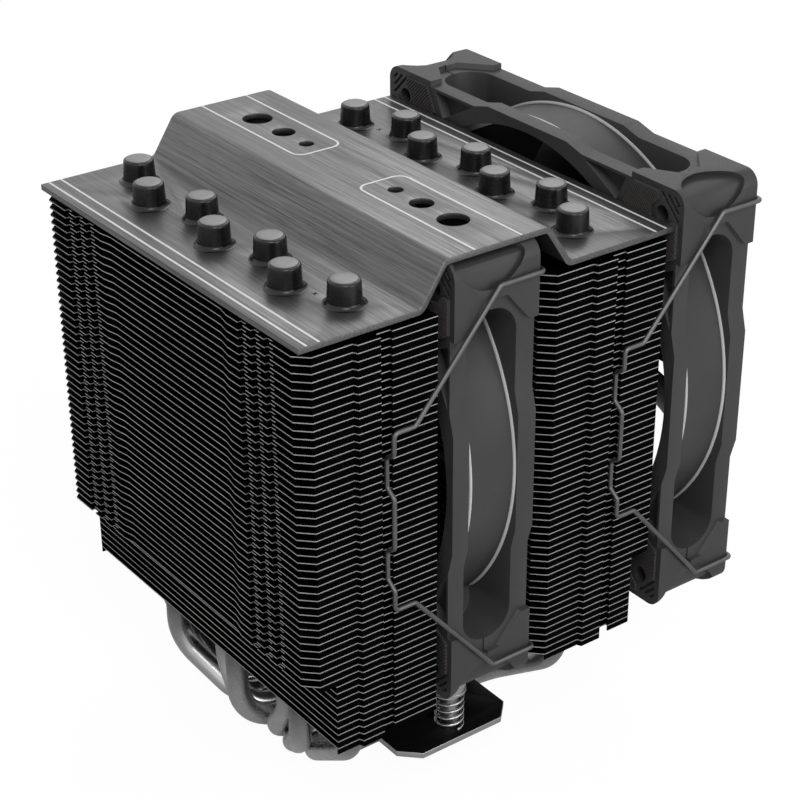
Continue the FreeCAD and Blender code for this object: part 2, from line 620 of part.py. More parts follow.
# ---- cover plate ----
def cover_plate():
    body = new_body("cover_plate")
    sketch = new_sketch(body, "Profile", "YZ_Plane")
    shift = f"(cover_sheet * tan(atan(({BRIDGE_TOP} - {COVER_TOP}) / bridge_run) / 2))"
    under_flat = f"{COVER_TOP} - cover_sheet"
    under_bridge = f"{BRIDGE_TOP} - cover_sheet"
    polygon(sketch, [
        (COVER_FRONT, under_flat), (f"-({BRIDGE_FOOT} - {shift})", under_flat),
        (f"-({SHOULDER} - {shift})", under_bridge), (f"{SHOULDER} - {shift}", under_bridge),
        (f"{BRIDGE_FOOT} - {shift}", under_flat), (COVER_BACK, under_flat), (COVER_BACK, COVER_TOP),
        (BRIDGE_FOOT, COVER_TOP), (SHOULDER, BRIDGE_TOP), (f"-{SHOULDER}", BRIDGE_TOP),
        (f"-{BRIDGE_FOOT}", COVER_TOP), (COVER_FRONT, COVER_TOP),
    ])
    pad(body, "Sheet", sketch, f"2 * ({FIN_HALF} + cover_over)", both_ways=True)
    doc.recompute()
    flat, bridge, foot = worked_out(COVER_TOP), worked_out(BRIDGE_TOP), worked_out(BRIDGE_FOOT)
    sheet_thick = size("cover_sheet")

    def fold(edge, heights):
        centre = middle_of(edge)
        inside = abs(centre.y) < foot + 0.01
        return along(edge, 0) and inside and any(abs(centre.z - z) < 0.01 for z in heights)

    round_edges(body, "InnerFolds", "cover_bend", lambda edge: fold(edge, (flat, bridge - sheet_thick)))
    round_edges(body, "OuterFolds", "cover_bend + cover_sheet",
                lambda edge: fold(edge, (flat - sheet_thick, bridge)))
    holes = new_sketch(body, "BridgeHoles", "XY_Plane")
    for sign in ("-", ""):
        circle(holes, f"{sign}screw_x", "0", "reach_hole_dia / 2")
        circle(holes, f"{sign}mid_hole_x", "0", "mid_hole_dia / 2")
        circle(holes, f"{sign}small_hole_x", "0", "small_hole_dia / 2")
    cut(body, "BridgeCuts", holes)
    passes = new_sketch(body, "PipePasses", "XY_Plane")
    leg_circles(passes, (-1, 1), "pipe_dia / 2 + pipe_pass_gap")
    cut(body, "PipeCuts", passes)


def leg_circles(sketch, sides, radius):
    for side in sides:
        for k in range(-3, 4):
            leg_y = LEG_NEAR if k % 2 else LEG_FAR
            circle(sketch, f"{k} * leg_pitch", f"{side} * {leg_y}", radius)


# ---- fins ----
def fin_side(front, nosed):
    # Right-hand half of a fin's front edge.
    points = []
    if nosed:
        shoulder = f"({front} + shoulder_inset)"
        points += [("hollow_half", f"{shoulder} + hollow_depth"), ("hollow_half + hollow_run", shoulder)]
        for k in range(3):
            middle = f"(notch_first + {k} * notch_pitch)"
            for across, deep in ((-1, 0), (-1, 1), (1, 1), (1, 0)):
                place = f"{middle} + {across} * notch_width / 2"
                points.append((place, f"{shoulder} + {deep} * notch_depth"))
        points.append((f"{FIN_HALF} - fin_corner", shoulder))
        points.append((FIN_HALF, f"{shoulder} + fin_corner"))
    else:
        points.append((FIN_HALF, front))
    return points


def fin_ear(nose):
    # The clip's shoulder and groove, on the right-hand side.
    start = f"({nose} + ear_start)"
    groove = f"({start} + ear_length)"
    out = f"{FIN_HALF} + ear_out"
    floor = f"{FIN_HALF} - groove_depth"
    return [
        (FIN_HALF, f"{start} - ear_out / 2"), (out, start), (out, groove), (floor, groove),
        (floor, f"{groove} + groove_width"), (FIN_HALF, f"{groove} + groove_width"),
    ]


def mirrored_outline(right_side):
    return right_side + [(f"-({across})", up) for across, up in reversed(right_side)]


def side_lips(sketch, front, nose, back):
    start = f"({nose} + ear_start)"
    groove = f"({start} + ear_length)"
    rear = f"({groove} + groove_width)"
    ear = f"{FIN_HALF} + ear_out"
    for sign in (1, -1):
        def at(across):
            return f"{sign} * ({across})"
        polygon(sketch, [
            (at(FIN_HALF), front), (at(FIN_HALF), f"{start} - ear_out / 2"),
            (at(ear), start), (at(ear), groove), (at(f"{ear} - fin_thick"), groove),
            (at(f"{ear} - fin_thick"), f"{start} + fin_thick"),
            (at(f"{FIN_HALF} - fin_thick"), f"{start} - ear_out / 2 + fin_thick"),
            (at(f"{FIN_HALF} - fin_thick"), front),
        ])
        rectangle(sketch, at(f"{FIN_HALF} - fin_thick"), at(FIN_HALF), rear, back)


def fin_stack(label, nose, front, back, nosed, side, lowest, count):
    # The stack's lowest fin lies at z 0 of its body.
    body = new_body(label, ("0", "0", lowest))
    sketch = new_sketch(body, "Outline", "XY_Plane")
    right = fin_side(front, nosed) + fin_ear(nose) + [(FIN_HALF, back)]
    polygon(sketch, mirrored_outline(right))
    leg_circles(sketch, (side,), "pipe_dia / 2 + fin_hole_gap")
    sheet_pad = pad(body, "Sheet", sketch, "fin_thick")
    lips = new_sketch(body, "LipLines", "XY_Plane")
    lip_front = f"({front} + shoulder_inset + fin_corner)" if nosed else front
    side_lips(lips, lip_front, nose, back)
    lip_pad = pad(body, "Lips", lips, "lip_drop", towards_back=True)
    row_of(body, "Stack", [sheet_pad, lip_pad], "Z_Axis", f"fin_pitch * ({count} - 1)", count)


def fins():
    set_back = f"({FRONT_NOSE} + setback_front)"
    cut_back = f"({REAR_BACK} - setback_rear)"
    fin_stack("fins_front_upper", FRONT_NOSE, FRONT_NOSE, FRONT_BACK, True, -1, UPPER_FIN, "fins_upper")
    fin_stack("fins_front_lower", FRONT_NOSE, set_back, FRONT_BACK, False, -1, LOWER_FIN, "fins_lower")
    fin_stack("fins_rear_upper", REAR_NOSE, REAR_NOSE, REAR_BACK, True, 1, UPPER_FIN, "fins_upper")
    fin_stack("fins_rear_lower", REAR_NOSE, REAR_NOSE, cut_back, True, 1, LOWER_FIN, "fins_lower")


# ---- fans: each body's own origin is the middle of its fan ----
def fan_frame(prefix, at):
    body = new_body(f"{prefix}_frame", at)
    half = "fan_side / 2"
    square = new_sketch(body, "Square", "XZ_Plane")
    rectangle(square, f"-{half}", half, f"-{half}", half)
    pad(body, "Block", square, "fan_depth", both_ways=True)
    round_edges(body, "Corners", "fan_corner", lambda edge: along(edge, 1))

    front = "(rail_front - fan_depth / 2)"
    back = f"({front} + window_depth)"
    sides = new_sketch(body, "SideWindow", "YZ_Plane")
    rectangle(sides, front, back, f"-{WINDOW_HALF}", WINDOW_HALF)
    cut(body, "SideWindows", sides)
    window = worked_out(WINDOW_HALF)
    round_edges(body, "SideRounds", "window_round",
                lambda edge: along(edge, 0) and near(middle_of(edge).z, window))
    ends = new_sketch(body, "EndWindow", "XY_Plane")
    rectangle(ends, f"-{WINDOW_HALF}", WINDOW_HALF, front, back)
    cut(body, "EndWindows", ends)
    round_edges(body, "EndRounds", "window_round",
                lambda edge: along(edge, 2) and near(middle_of(edge).x, window))

    rear = "fan_depth / 2"
    # Between the corner blocks each side is set back, but for the duct's rim.
    sunk = f"({half} - side_recess)"
    recess = new_sketch(body, "SideRecess", "XZ_Plane")
    ends = new_sketch(body, "RecessEnds", "YZ_Plane", ("0", "0", half))
    for sign in ("-", ""):
        polygon(recess, [
            (f"{sign}rim_start", f"{half} + 1"), (f"{sign}rim_start", half),
            (f"{sign}(rim_start + rim_slope)", sunk), (f"{sign}{BLOCK_EDGE}", sunk),
            (f"{sign}{BLOCK_EDGE}", f"{half} + 1"),
        ])
        inside, far = f"{sign}({BLOCK_EDGE} - 0.5)", f"{sign}({BLOCK_EDGE} + end_reach)"
        polygon(ends, [
            ("-end_front", inside), ("-end_front", f"{sign}{BLOCK_EDGE}"), ("-end_top_front", far),
            ("end_top_back", far), ("end_back", f"{sign}{BLOCK_EDGE}"), ("end_back", inside),
        ])
    recess_cut = cut(body, "SideRecessCut", recess)
    ring_of(body, "SideRecesses", [recess_cut], "4")
    ends_cut = cut(body, "RecessEndCut", ends, "side_recess")
    ring_of(body, "RecessEndCuts", [ends_cut], "4")

    # Two pockets in the front of each corner, between the rim and the sides.
    pockets = new_sketch(body, "Pockets", "XZ_Plane", ("0", "0", rear))
    outer = f"({sunk} - pocket_wall)"
    shut = f"({BLOCK_EDGE} - pocket_inset)"
    low = f"({shut} - pocket_slant)"
    triangle = [(f"sqrt({RIM}^2 - {outer}^2)", outer), (shut, outer), (low, f"sqrt({RIM}^2 - {low}^2)")]
    polygon(pockets, triangle)
    polygon(pockets, [(up, across) for across, up in triangle])
    pocket_cut = cut(body, "PocketCut", pockets, "pocket_depth")
    ring_of(body, "PocketCuts", [pocket_cut], "4")

    # A shallow leaf sunk into each rounded corner: cut along the diagonal, then filled to the recess's depth.
    diagonal = "(fan_side / 2 - (scoop_reach + 2 * side_recess) * cos(45))"
    scoop = new_sketch(body, "Scoop", "YZ_Plane", ("0", f"-{diagonal}", diagonal))
    scoop.AttachmentOffset = FreeCAD.Placement(ORIGIN, FreeCAD.Rotation(V(1, 0, 0), 45))
    turns = [k * math.pi / 10 for k in range(1, 10)]
    upper = [(-math.cos(t), (1 - abs(math.cos(t)) ** 1.9) ** 0.62) for t in turns]
    leaf = [(-1.0, 0.0), *upper, (1.0, 0.0), *[(along_y, -up) for along_y, up in reversed(upper)]]
    polygon(scoop, [(f"{a:.4f} * scoop_half - scoop_shift", f"{b:.4f} * scoop_reach") for a, b in leaf])
    scoop_cut = cut(body, "CornerScoop", scoop, "scoop_reach * 3", towards_front=True)
    ring_of(body, "CornerScoops", [scoop_cut], "4")
    core = new_sketch(body, "CornerCore", "XZ_Plane")
    inner, bend = f"({half} - scoop_reach * 2)", f"({half} - fan_corner)"
    halfway = f"({bend} + (fan_corner - side_recess) * cos(45))"
    polygon(core, [
        (inner, inner), (sunk, inner), (sunk, bend), (halfway, halfway), (bend, sunk), (inner, sunk),
    ])
    core_pad = pad(body, "CornerCorePad", core, "fan_depth", both_ways=True)
    ring_of(body, "CornerCores", [core_pad], "4")

    ring = new_sketch(body, "DuctWall", "XZ_Plane")
    circle(ring, "0", "0", f"{DUCT} + duct_wall")
    pad(body, "Duct", ring, "fan_depth", both_ways=True)
    web = new_sketch(body, "Web", "XY_Plane")
    web.AttachmentOffset = FreeCAD.Placement(ORIGIN, FreeCAD.Rotation(V(0, 1, 0), 45))
    rectangle(web, DUCT, f"{WINDOW_HALF} * 1.4142 + web_thick", "-fan_depth / 2", "fan_depth / 2")
    web_pad = pad(body, "CornerWeb", web, "web_thick", both_ways=True)
    ring_of(body, "CornerWebs", [web_pad], "4")
    bore = new_sketch(body, "DuctBore", "XZ_Plane")
    circle(bore, "0", "0", DUCT)
    for across in ("-", ""):
        for up in ("-", ""):
            circle(bore, f"{across}{HOLE_OUT}", f"{up}{HOLE_OUT}", "fan_hole_dia / 2")
    cut(body, "Bores", bore)

    # Motor cup on four struts, with the bearing tube in its middle.
    cup = new_sketch(body, "CupProfile", "XY_Plane")
    polygon(cup, [
        ("0", CUP_FLOOR_TOP), (TUBE_RADIUS, CUP_FLOOR_TOP), ("cup_dia / 2 - cup_wall", CUP_FLOOR_TOP),
        ("cup_dia / 2 - cup_wall", f"{rear} - cup_depth"), ("cup_dia / 2", f"{rear} - cup_depth"),
        ("cup_dia / 2", rear), ("0", rear),
    ])
    turn(body, "Cup", cup)
    tube = new_sketch(body, "TubeProfile", "XY_Plane")
    seat = "(bearing_dia / 2 + bearing_seat)"
    rectangle(tube, seat, TUBE_RADIUS, "-tube_front", f"{CUP_FLOOR_TOP} + 0.5")
    turn(body, "Tube", tube)
    strut = new_sketch(body, "Strut", "XY_Plane")
    rectangle(strut, "(cup_dia - cup_wall) / 2", f"{DUCT} + duct_wall / 2", f"{rear} - strut_depth", rear)
    strut_pad = pad(body, "StrutBar", strut, "strut_width", both_ways=True)
    ring_of(body, "Struts", [strut_pad], "4")


def turned_round_y(label, at, profile):
    body = new_body(label, at)
    sketch = new_sketch(body, "Profile", "XY_Plane")
    polygon(sketch, profile)
    turn(body, "Turned", sketch)
    return body


def impeller(prefix, at):
    face = "(-hub_front)"
    roof = "(hub_wall - hub_front)"
    body = turned_round_y(f"{prefix}_impeller", at, [
        ("shaft_dia / 2 + bearing_seat / 2", roof),
        ("shaft_dia / 2 + bearing_seat / 2", f"{roof} + boss_length"),
        ("boss_dia / 2", f"{roof} + boss_length"), ("boss_dia / 2", roof),
        ("hub_dia / 2 - hub_wall", roof), ("hub_dia / 2 - hub_wall", "hub_back"),
        ("hub_dia / 2", "hub_back"), ("hub_dia / 2", f"{face} + hub_edge"),
        ("hub_dia / 2 - hub_edge * 0.3", f"{face} + hub_edge * 0.3"),
        ("hub_dia / 2 - hub_edge", face), ("0", face), ("0", f"{roof} - hub_wall / 2"),
        ("shaft_dia / 2 + bearing_seat / 2", f"{roof} - hub_wall / 2"),
    ])
    # A blade runs from a steep section inside the hub's wall to a flatter one at its tip.
    sections = []
    for name, out, run in (("BladeRoot", "hub_dia / 2 - hub_wall / 2", "blade_root_run"),
                           ("BladeTip", DUCT, "blade_tip_run")):
        section = new_sketch(body, name, "YZ_Plane", ("0", "0", out))
        polygon(section, [
            ("-blade_front", run), ("-blade_front + blade_thick", run),
            ("blade_thick / 2 - blade_front / 3", f"blade_thick / 2 - {run} * 0.12"),
            ("blade_back", f"blade_thick / 2 - {run}"), ("blade_back", f"-{run}"),
            ("-blade_front / 3 - blade_thick / 2", f"-{run} * 0.12 - blade_thick / 2"),
        ])
        sections.append(section)
    blade = body.newObject("PartDesign::AdditiveLoft", "Blade")
    blade.Profile = sections[0]
    blade.Sections = sections[1:]
    blade.Ruled = True
    body.Tip = blade
    ring_of(body, "Blades", [blade], "blade_count")
    trim = new_sketch(body, "TipTrim", "XZ_Plane")
    circle(trim, "0", "0", f"{DUCT} - blade_tip_gap")
    circle(trim, "0", "0", "fan_side")
    cut(body, "TipCut", trim)


def fan(prefix, at):
    fan_frame(prefix, at)
    impeller(prefix, at)
    turned_round_y(f"{prefix}_rotor_cup", at, [
        (f"{YOKE_RADIUS} - yoke_wall", "-magnet_half - yoke_wall"),
        (YOKE_RADIUS, "-magnet_half - yoke_wall"), (YOKE_RADIUS, "magnet_half + yoke_wall / 2"),
        (f"{YOKE_RADIUS} - yoke_wall", "magnet_half + yoke_wall / 2"),
    ])
    turned_round_y(f"{prefix}_magnet_ring", at, [
        (f"{MAGNET_RADIUS} - magnet_wall", "-magnet_half"), (MAGNET_RADIUS, "-magnet_half"),
        (MAGNET_RADIUS, "magnet_half"), (f"{MAGNET_RADIUS} - magnet_wall", "magnet_half"),
    ])
    pin = "shaft_dia / 2"
    groove = "(bearing_back + ring_groove)"
    slim = "(shaft_dia / 2 - ring_groove)"
    ring_end = f"({groove} + ring_thick + solder_gap)"
    turned_round_y(f"{prefix}_shaft", at, [
        ("0", "hub_wall / 2 - hub_front + solder_gap"), (pin, "hub_wall / 2 - hub_front + solder_gap"),
        (pin, groove), (slim, groove), (slim, ring_end), (pin, ring_end),
        (pin, f"{ring_end} + ring_groove"), ("0", f"{ring_end} + ring_groove"),
    ])
    turned_round_y(f"{prefix}_lock_ring", at, [
        (f"{slim} + solder_gap", groove), ("ring_dia / 2", groove),
        ("ring_dia / 2", f"{groove} + ring_thick"), (f"{slim} + solder_gap", f"{groove} + ring_thick"),
    ])
    turned_round_y(f"{prefix}_bearing", at, [
        ("shaft_dia / 2 + shaft_fit", "bearing_back - bearing_length"),
        ("bearing_dia / 2", "bearing_back - bearing_length"),
        ("bearing_dia / 2", "bearing_back"), ("shaft_dia / 2 + shaft_fit", "bearing_back"),
    ])
    board_back = f"({CUP_FLOOR_TOP} - board_gap)"
    turned_round_y(f"{prefix}_circuit_board", at, [
        (f"{TUBE_RADIUS} + bearing_seat", f"{board_back} - board_thick"),
        ("board_dia / 2", f"{board_back} - board_thick"),
        ("board_dia / 2", board_back), (f"{TUBE_RADIUS} + bearing_seat", board_back),
    ])
    stator_core(prefix, at)
    windings(prefix, at)
    corner_pads(prefix, at)


def stator_core(prefix, at):
    body = new_body(f"{prefix}_stator_core", at)
    hub = new_sketch(body, "Ring", "XZ_Plane")
    circle(hub, "0", "0", f"{TUBE_RADIUS} + core_ring")
    pad(body, "CoreRing", hub, "2 * core_half", both_ways=True)
    necks = new_sketch(body, "Necks", "XZ_Plane")
    cross(necks, "0", "neck_width / 2", f"({CORE_RADIUS} - shoe_thick / 2)")
    pad(body, "PoleNecks", necks, "2 * core_half", both_ways=True)
    shoes = new_sketch(body, "Shoes", "XZ_Plane")
    circle(shoes, "0", "0", CORE_RADIUS)
    circle(shoes, "0", "0", f"{CORE_RADIUS} - shoe_thick")
    pad(body, "PoleShoes", shoes, "2 * core_half", both_ways=True)
    gap = new_sketch(body, "ShoeGap", "XY_Plane")
    gap.AttachmentOffset = FreeCAD.Placement(ORIGIN, FreeCAD.Rotation(V(0, 1, 0), 45))
    inside = f"{CORE_RADIUS} - shoe_thick - 1"
    rectangle(gap, inside, f"{CORE_RADIUS} + 1", "-core_half - 1", "core_half + 1")
    gap_cut = body.newObject("PartDesign::Pocket", "ShoeGapCut")
    gap_cut.Profile = gap
    gap_cut.SideType = "Symmetric"
    bind(gap_cut, "Length", "slot_width")
    body.Tip = gap_cut
    ring_of(body, "ShoeGaps", [gap_cut], "4")
    bore = new_sketch(body, "Bore", "XZ_Plane")
    circle(bore, "0", "0", f"{TUBE_RADIUS} + bearing_seat")
    cut(body, "BoreCut", bore)


def windings(prefix, at):
    body = new_body(f"{prefix}_windings", at)
    inner = f"({TUBE_RADIUS} + core_ring + coil_gap)"
    coil = new_sketch(body, "CoilLoop", "YZ_Plane", ("0", "0", inner))
    high, wide = "(core_half + coil_gap)", "(neck_width / 2 + coil_gap)"
    full_high, full_wide = f"({high} + coil_build)", f"({wide} + coil_build)"
    rectangle(coil, f"-{high}", high, f"-{wide}", wide)
    rectangle(coil, f"-{full_high}", full_high, f"-{full_wide}", full_wide)
    loop = pad(body, "Coil", coil, f"{CORE_RADIUS} - shoe_thick - coil_gap - {inner} - coil_build / 2")
    ring_of(body, "Coils", [loop], "4")


def corner_pads(prefix, at):
    # A rubber elbow on the front of each corner, round the inside of the screw hole.
    body = new_body(f"{prefix}_corner_pads", at)
    sketch = new_sketch(body, "PadOutline", "XZ_Plane", ("0", "0", "fan_depth / 2"))
    edge = "(fan_side / 2 - pad_inset)"
    far, near_end = "(fan_side / 2 - pad_far)", "(fan_side / 2 - pad_near)"
    beside = f"({HOLE_OUT} - pad_hole_gap)"
    upper = [
        (f"{far} - pad_lean", f"{edge} - pad_width"), (far, edge), (near_end, edge),
        (near_end, f"{edge} - pad_elbow * 0.7"), (beside, f"{HOLE_OUT} + pad_hole_gap * 0.4"),
    ]
    polygon(sketch, [
        (f"{beside} - pad_elbow", f"{beside} - pad_elbow"), *upper, (beside, beside),
        *[(up, across) for across, up in reversed(upper)],
    ])
    arm = pad(body, "Pad", sketch, "pad_proud")
    ring_of(body, "Pads", [arm], "4")


# ---- wire clips ----
def wire_clip(label, fan_place, nose, side):
    wire = size("clip_wire") / 2
    fan_y, fan_up = worked_out(fan_place[1]), worked_out(fan_place[2])
    hole = worked_out(HOLE_OUT)
    out = size("fan_side") / 2 + size("clip_side_gap") + wire
    inward = worked_out(f"{FIN_HALF} - groove_depth + clip_groove_gap") + wire
    behind = size("fan_depth") / 2 + size("clip_back_gap") + wire
    # The upright lies in the middle of the fins' clip groove.
    upright = worked_out(f"{nose} + ear_start + ear_length + groove_width / 2") - fan_y
    slope = size("clip_jog_slope")
    high, low = size("clip_jog_high"), size("clip_jog_low")
    elbow = size("clip_shoulder_up")
    upper = [
        V(hole, size("fan_depth") / 2 - size("clip_stub"), hole), V(hole, behind, hole), V(out, behind, hole),
        V(out, size("clip_elbow"), hole), V(out, upright + size("clip_knee"), elbow),
        V(out, upright, elbow), V(out, upright, high + slope / 2), V(inward, upright, high - slope / 2),
        V(inward, upright, low + slope / 2), V(out, upright, low - slope / 2),
    ]
    lower = [V(p.x, p.y, -p.z) for p in reversed(upper)]
    points = [V(side * p.x, p.y + fan_y, p.z + fan_up) for p in upper + lower]
    bend = size("clip_bend") + wire
    slight = wire * 2
    radii = [bend, bend, bend, bend, bend, slight, slight, slight, slight]
    path = rounded_path(points, radii + radii[::-1])
    feature_from(label, swept(path, wire))


# ---- spring screws ----
def spring_screw(side, sign):
    x = f"{sign}screw_x"
    shank = "screw_dia / 2"
    keeper_foot = f"({BLOCK_TOP} - keeper_thick)"
    slim = "(screw_dia / 2 - keeper_groove)"

    screw = new_body(f"spring_screw_{side}", (x, "0", "0"))
    profile = new_sketch(screw, "Profile", "XZ_Plane")
    core = "thread_core_dia / 2"
    polygon(profile, [
        (core, "screw_tip"), (shank, "screw_tip"), (shank, f"{keeper_foot} - solder_gap"),
        (slim, f"{keeper_foot} - solder_gap"), (slim, f"{BLOCK_TOP} + solder_gap"),
        (shank, f"{BLOCK_TOP} + solder_gap"), (shank, HEAD_FOOT), ("screw_head_dia / 2", HEAD_FOOT),
        ("screw_head_dia / 2", f"{HEAD_FOOT} + screw_head_height * 0.8"),
        ("screw_head_dia * 0.4", f"{HEAD_FOOT} + screw_head_height"),
        ("0", f"{HEAD_FOOT} + screw_head_height"), ("0", "screw_tip + thread_depth"),
        (core, "screw_tip + thread_depth"),
    ])
    turn(screw, "Turned", profile)
    recess = new_sketch(screw, "CrossRecess", "XY_Plane", ("0", "0", f"{HEAD_FOOT} + screw_head_height"))
    cross(recess, "0", "drive_width / 2", "drive_length / 2")
    cut(screw, "Recess", recess, "drive_depth")

    keeper = new_body(f"screw_keeper_{side}", (x, "0", "0"))
    ring = new_sketch(keeper, "Profile", "XZ_Plane")
    rectangle(ring, f"{slim} + solder_gap", "screw_dia / 2 + keeper_out", keeper_foot, BLOCK_TOP)
    turn(keeper, "Turned", ring)

    washer = new_body(f"spring_washer_{side}", (x, "0", "0"))
    disc = new_sketch(washer, "Profile", "XZ_Plane")
    rim = f"{SPRING_RADIUS} + spring_wire / 2 + washer_over"
    rectangle(disc, "screw_dia / 2 + screw_fit", rim, SPRING_TOP, HEAD_FOOT)
    turn(washer, "Turned", disc)


def coil_spring(side, sign):
    wire = size("spring_wire") / 2
    radius = worked_out(SPRING_RADIUS)
    height = size("spring_length") - 2 * wire
    foot = worked_out(BAR_TOP) + wire
    helix = Part.makeHelix(size("spring_pitch"), height, radius)
    tangent = helix.Edges[0].tangentAt(helix.Edges[0].FirstParameter)
    ring = Part.Wire(Part.Circle(V(radius, 0, 0), tangent, wire).toShape())
    coil = Part.Wire(helix.Edges).makePipeShell([ring], True, True)
    feature_from(f"spring_{side}", coil, V(sign * size("screw_x"), 0, foot))


# ---- the whole cooler ----
cold_plate()
base_block()
mounting_bar()
bar_screws()
for k in range(-3, 4):
    heat_pipe(k)
pipe_caps("pipe_caps_front", -1)
pipe_caps("pipe_caps_rear", 1)
pipe_collars()
cover_plate()
fins()
for fan_name, fan_place in (("mid_fan", FAN_MIDDLE), ("rear_fan", FAN_REAR)):
    fan(fan_name, fan_place)
for fan_name, fan_place, nose in (("mid", FAN_MIDDLE, FRONT_NOSE), ("rear", FAN_REAR, REAR_NOSE)):
    wire_clip(f"{fan_name}_clip_left", fan_place, nose, -1)
    wire_clip(f"{fan_name}_clip_right", fan_place, nose, 1)
for side_name, minus, sign_value in (("left", "-", -1), ("right", "", 1)):
    spring_screw(side_name, minus)
    coil_spring(side_name, sign_value)

doc.recompute()
for item in doc.Objects:
    if "Invalid" in item.State or "Error" in item.State:
        raise RuntimeError(f"{item.Label} failed: {item.State}")
for item in sub_parts:
    if item.Shape.isNull() or not item.Shape.isValid():
        raise RuntimeError(f"{item.Label} has no valid shape")

os.makedirs("parts", exist_ok=True)
for item in sub_parts:
    item.Shape.exportStep(f"parts/{item.Label}.step")
    print(f"{item.Label}: {len(item.Shape.Solids)} solids, {item.Shape.Volume:.0f} mm3")
print(len(sub_parts), "sub-parts")
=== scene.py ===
import bpy
import bmesh
from math import cos, pi, radians, sin, tau
from mathutils import Matrix, Vector


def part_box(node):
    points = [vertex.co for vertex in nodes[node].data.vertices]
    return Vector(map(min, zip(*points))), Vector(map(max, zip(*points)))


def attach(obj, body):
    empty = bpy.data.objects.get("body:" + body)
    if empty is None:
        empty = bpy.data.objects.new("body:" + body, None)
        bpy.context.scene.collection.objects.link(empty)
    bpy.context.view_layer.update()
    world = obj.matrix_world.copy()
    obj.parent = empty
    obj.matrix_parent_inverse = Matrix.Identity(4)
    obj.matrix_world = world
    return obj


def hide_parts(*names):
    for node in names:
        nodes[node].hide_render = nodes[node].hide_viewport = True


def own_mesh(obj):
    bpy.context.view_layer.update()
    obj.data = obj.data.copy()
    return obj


# Dual-tower processor cooler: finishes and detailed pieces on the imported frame. Lengths in metres.
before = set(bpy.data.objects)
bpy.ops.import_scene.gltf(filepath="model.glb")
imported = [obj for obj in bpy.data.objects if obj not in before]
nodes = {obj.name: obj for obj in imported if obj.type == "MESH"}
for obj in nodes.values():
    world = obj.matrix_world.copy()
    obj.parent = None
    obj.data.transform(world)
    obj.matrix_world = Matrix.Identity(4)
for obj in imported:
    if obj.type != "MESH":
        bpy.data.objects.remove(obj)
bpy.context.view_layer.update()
mm = 0.001

# ways to look at the object and light it
camera = {"place": (0.388109, -0.271817, 0.346681), "azimuth": 52.2, "elevation": 28.982, "roll": 0.359,
          "lens": 92.543, "sensor": 36.0, "shift": (-0.0528, 0.0349)}
studio = {"floor": 0.93, "fill": 0.28, "floorGlow": 1.04, "floorShown": 0.92, "aim": (0, 0, 0.08)}
lamps = {"key": ((0.75, -0.35, 0.95), 0.55, 4.6), "side": ((0.9, 0.25, 0.35), 0.5, 2.2),
         "back": ((-0.6, 0.6, 0.9), 0.6, 2.0)}  # place, width and power


def madeCamera():
    data = bpy.data.cameras.new("camera")
    data.lens, data.sensor_width, data.sensor_fit = camera["lens"], camera["sensor"], "HORIZONTAL"
    data.shift_x, data.shift_y = camera["shift"]
    data.clip_start, data.clip_end = 0.01, 20
    az, el, roll = (radians(camera[k]) for k in ("azimuth", "elevation", "roll"))
    ahead = Vector((-sin(az) * cos(el), cos(az) * cos(el), -sin(el)))
    right = Vector((cos(az), sin(az), 0))
    up = right.cross(ahead)
    across = right * cos(roll) + up * sin(roll)
    upright = up * cos(roll) - right * sin(roll)
    turn = Matrix((across, upright, -ahead)).transposed().to_4x4()
    item = bpy.data.objects.new("camera", data)
    item.matrix_world = Matrix.Translation(camera["place"]) @ turn
    bpy.context.scene.collection.objects.link(item)
    bpy.context.scene.camera = item


def softLight(name, place, aim, width, power):
    data = bpy.data.lights.new(name, "AREA")
    data.shape, data.size, data.energy = "DISK", width, power
    item = bpy.data.objects.new(name, data)
    item.location = place
    item.rotation_euler = (Vector(aim) - Vector(place)).to_track_quat("-Z", "Y").to_euler()
    bpy.context.scene.collection.objects.link(item)


def litWorld():
    world = bpy.data.worlds.new("studio")
    bpy.context.scene.world = world
    world.use_nodes = True
    tree = world.node_tree
    tree.nodes.clear()
    seen = tree.nodes.new("ShaderNodeLightPath")
    seenOrGloss = tree.nodes.new("ShaderNodeMath")
    seenOrGloss.operation = "MAXIMUM"
    anySight = tree.nodes.new("ShaderNodeMath")
    anySight.operation = "MAXIMUM"
    plain, white = tree.nodes.new("ShaderNodeBackground"), tree.nodes.new("ShaderNodeBackground")
    plain.inputs["Color"].default_value = (1, 1, 1, 1)
    plain.inputs["Strength"].default_value = studio["fill"]
    white.inputs["Color"].default_value = (1, 1, 1, 1)
    mix, out = tree.nodes.new("ShaderNodeMixShader"), tree.nodes.new("ShaderNodeOutputWorld")
    link = tree.links.new
    link(seen.outputs["Is Camera Ray"], seenOrGloss.inputs[0])
    link(seen.outputs["Is Glossy Ray"], seenOrGloss.inputs[1])
    link(seenOrGloss.outputs[0], anySight.inputs[0])
    link(seen.outputs["Is Transmission Ray"], anySight.inputs[1])
    link(anySight.outputs[0], mix.inputs[0])
    link(plain.outputs[0], mix.inputs[1])
    link(white.outputs[0], mix.inputs[2])
    link(mix.outputs[0], out.inputs[0])


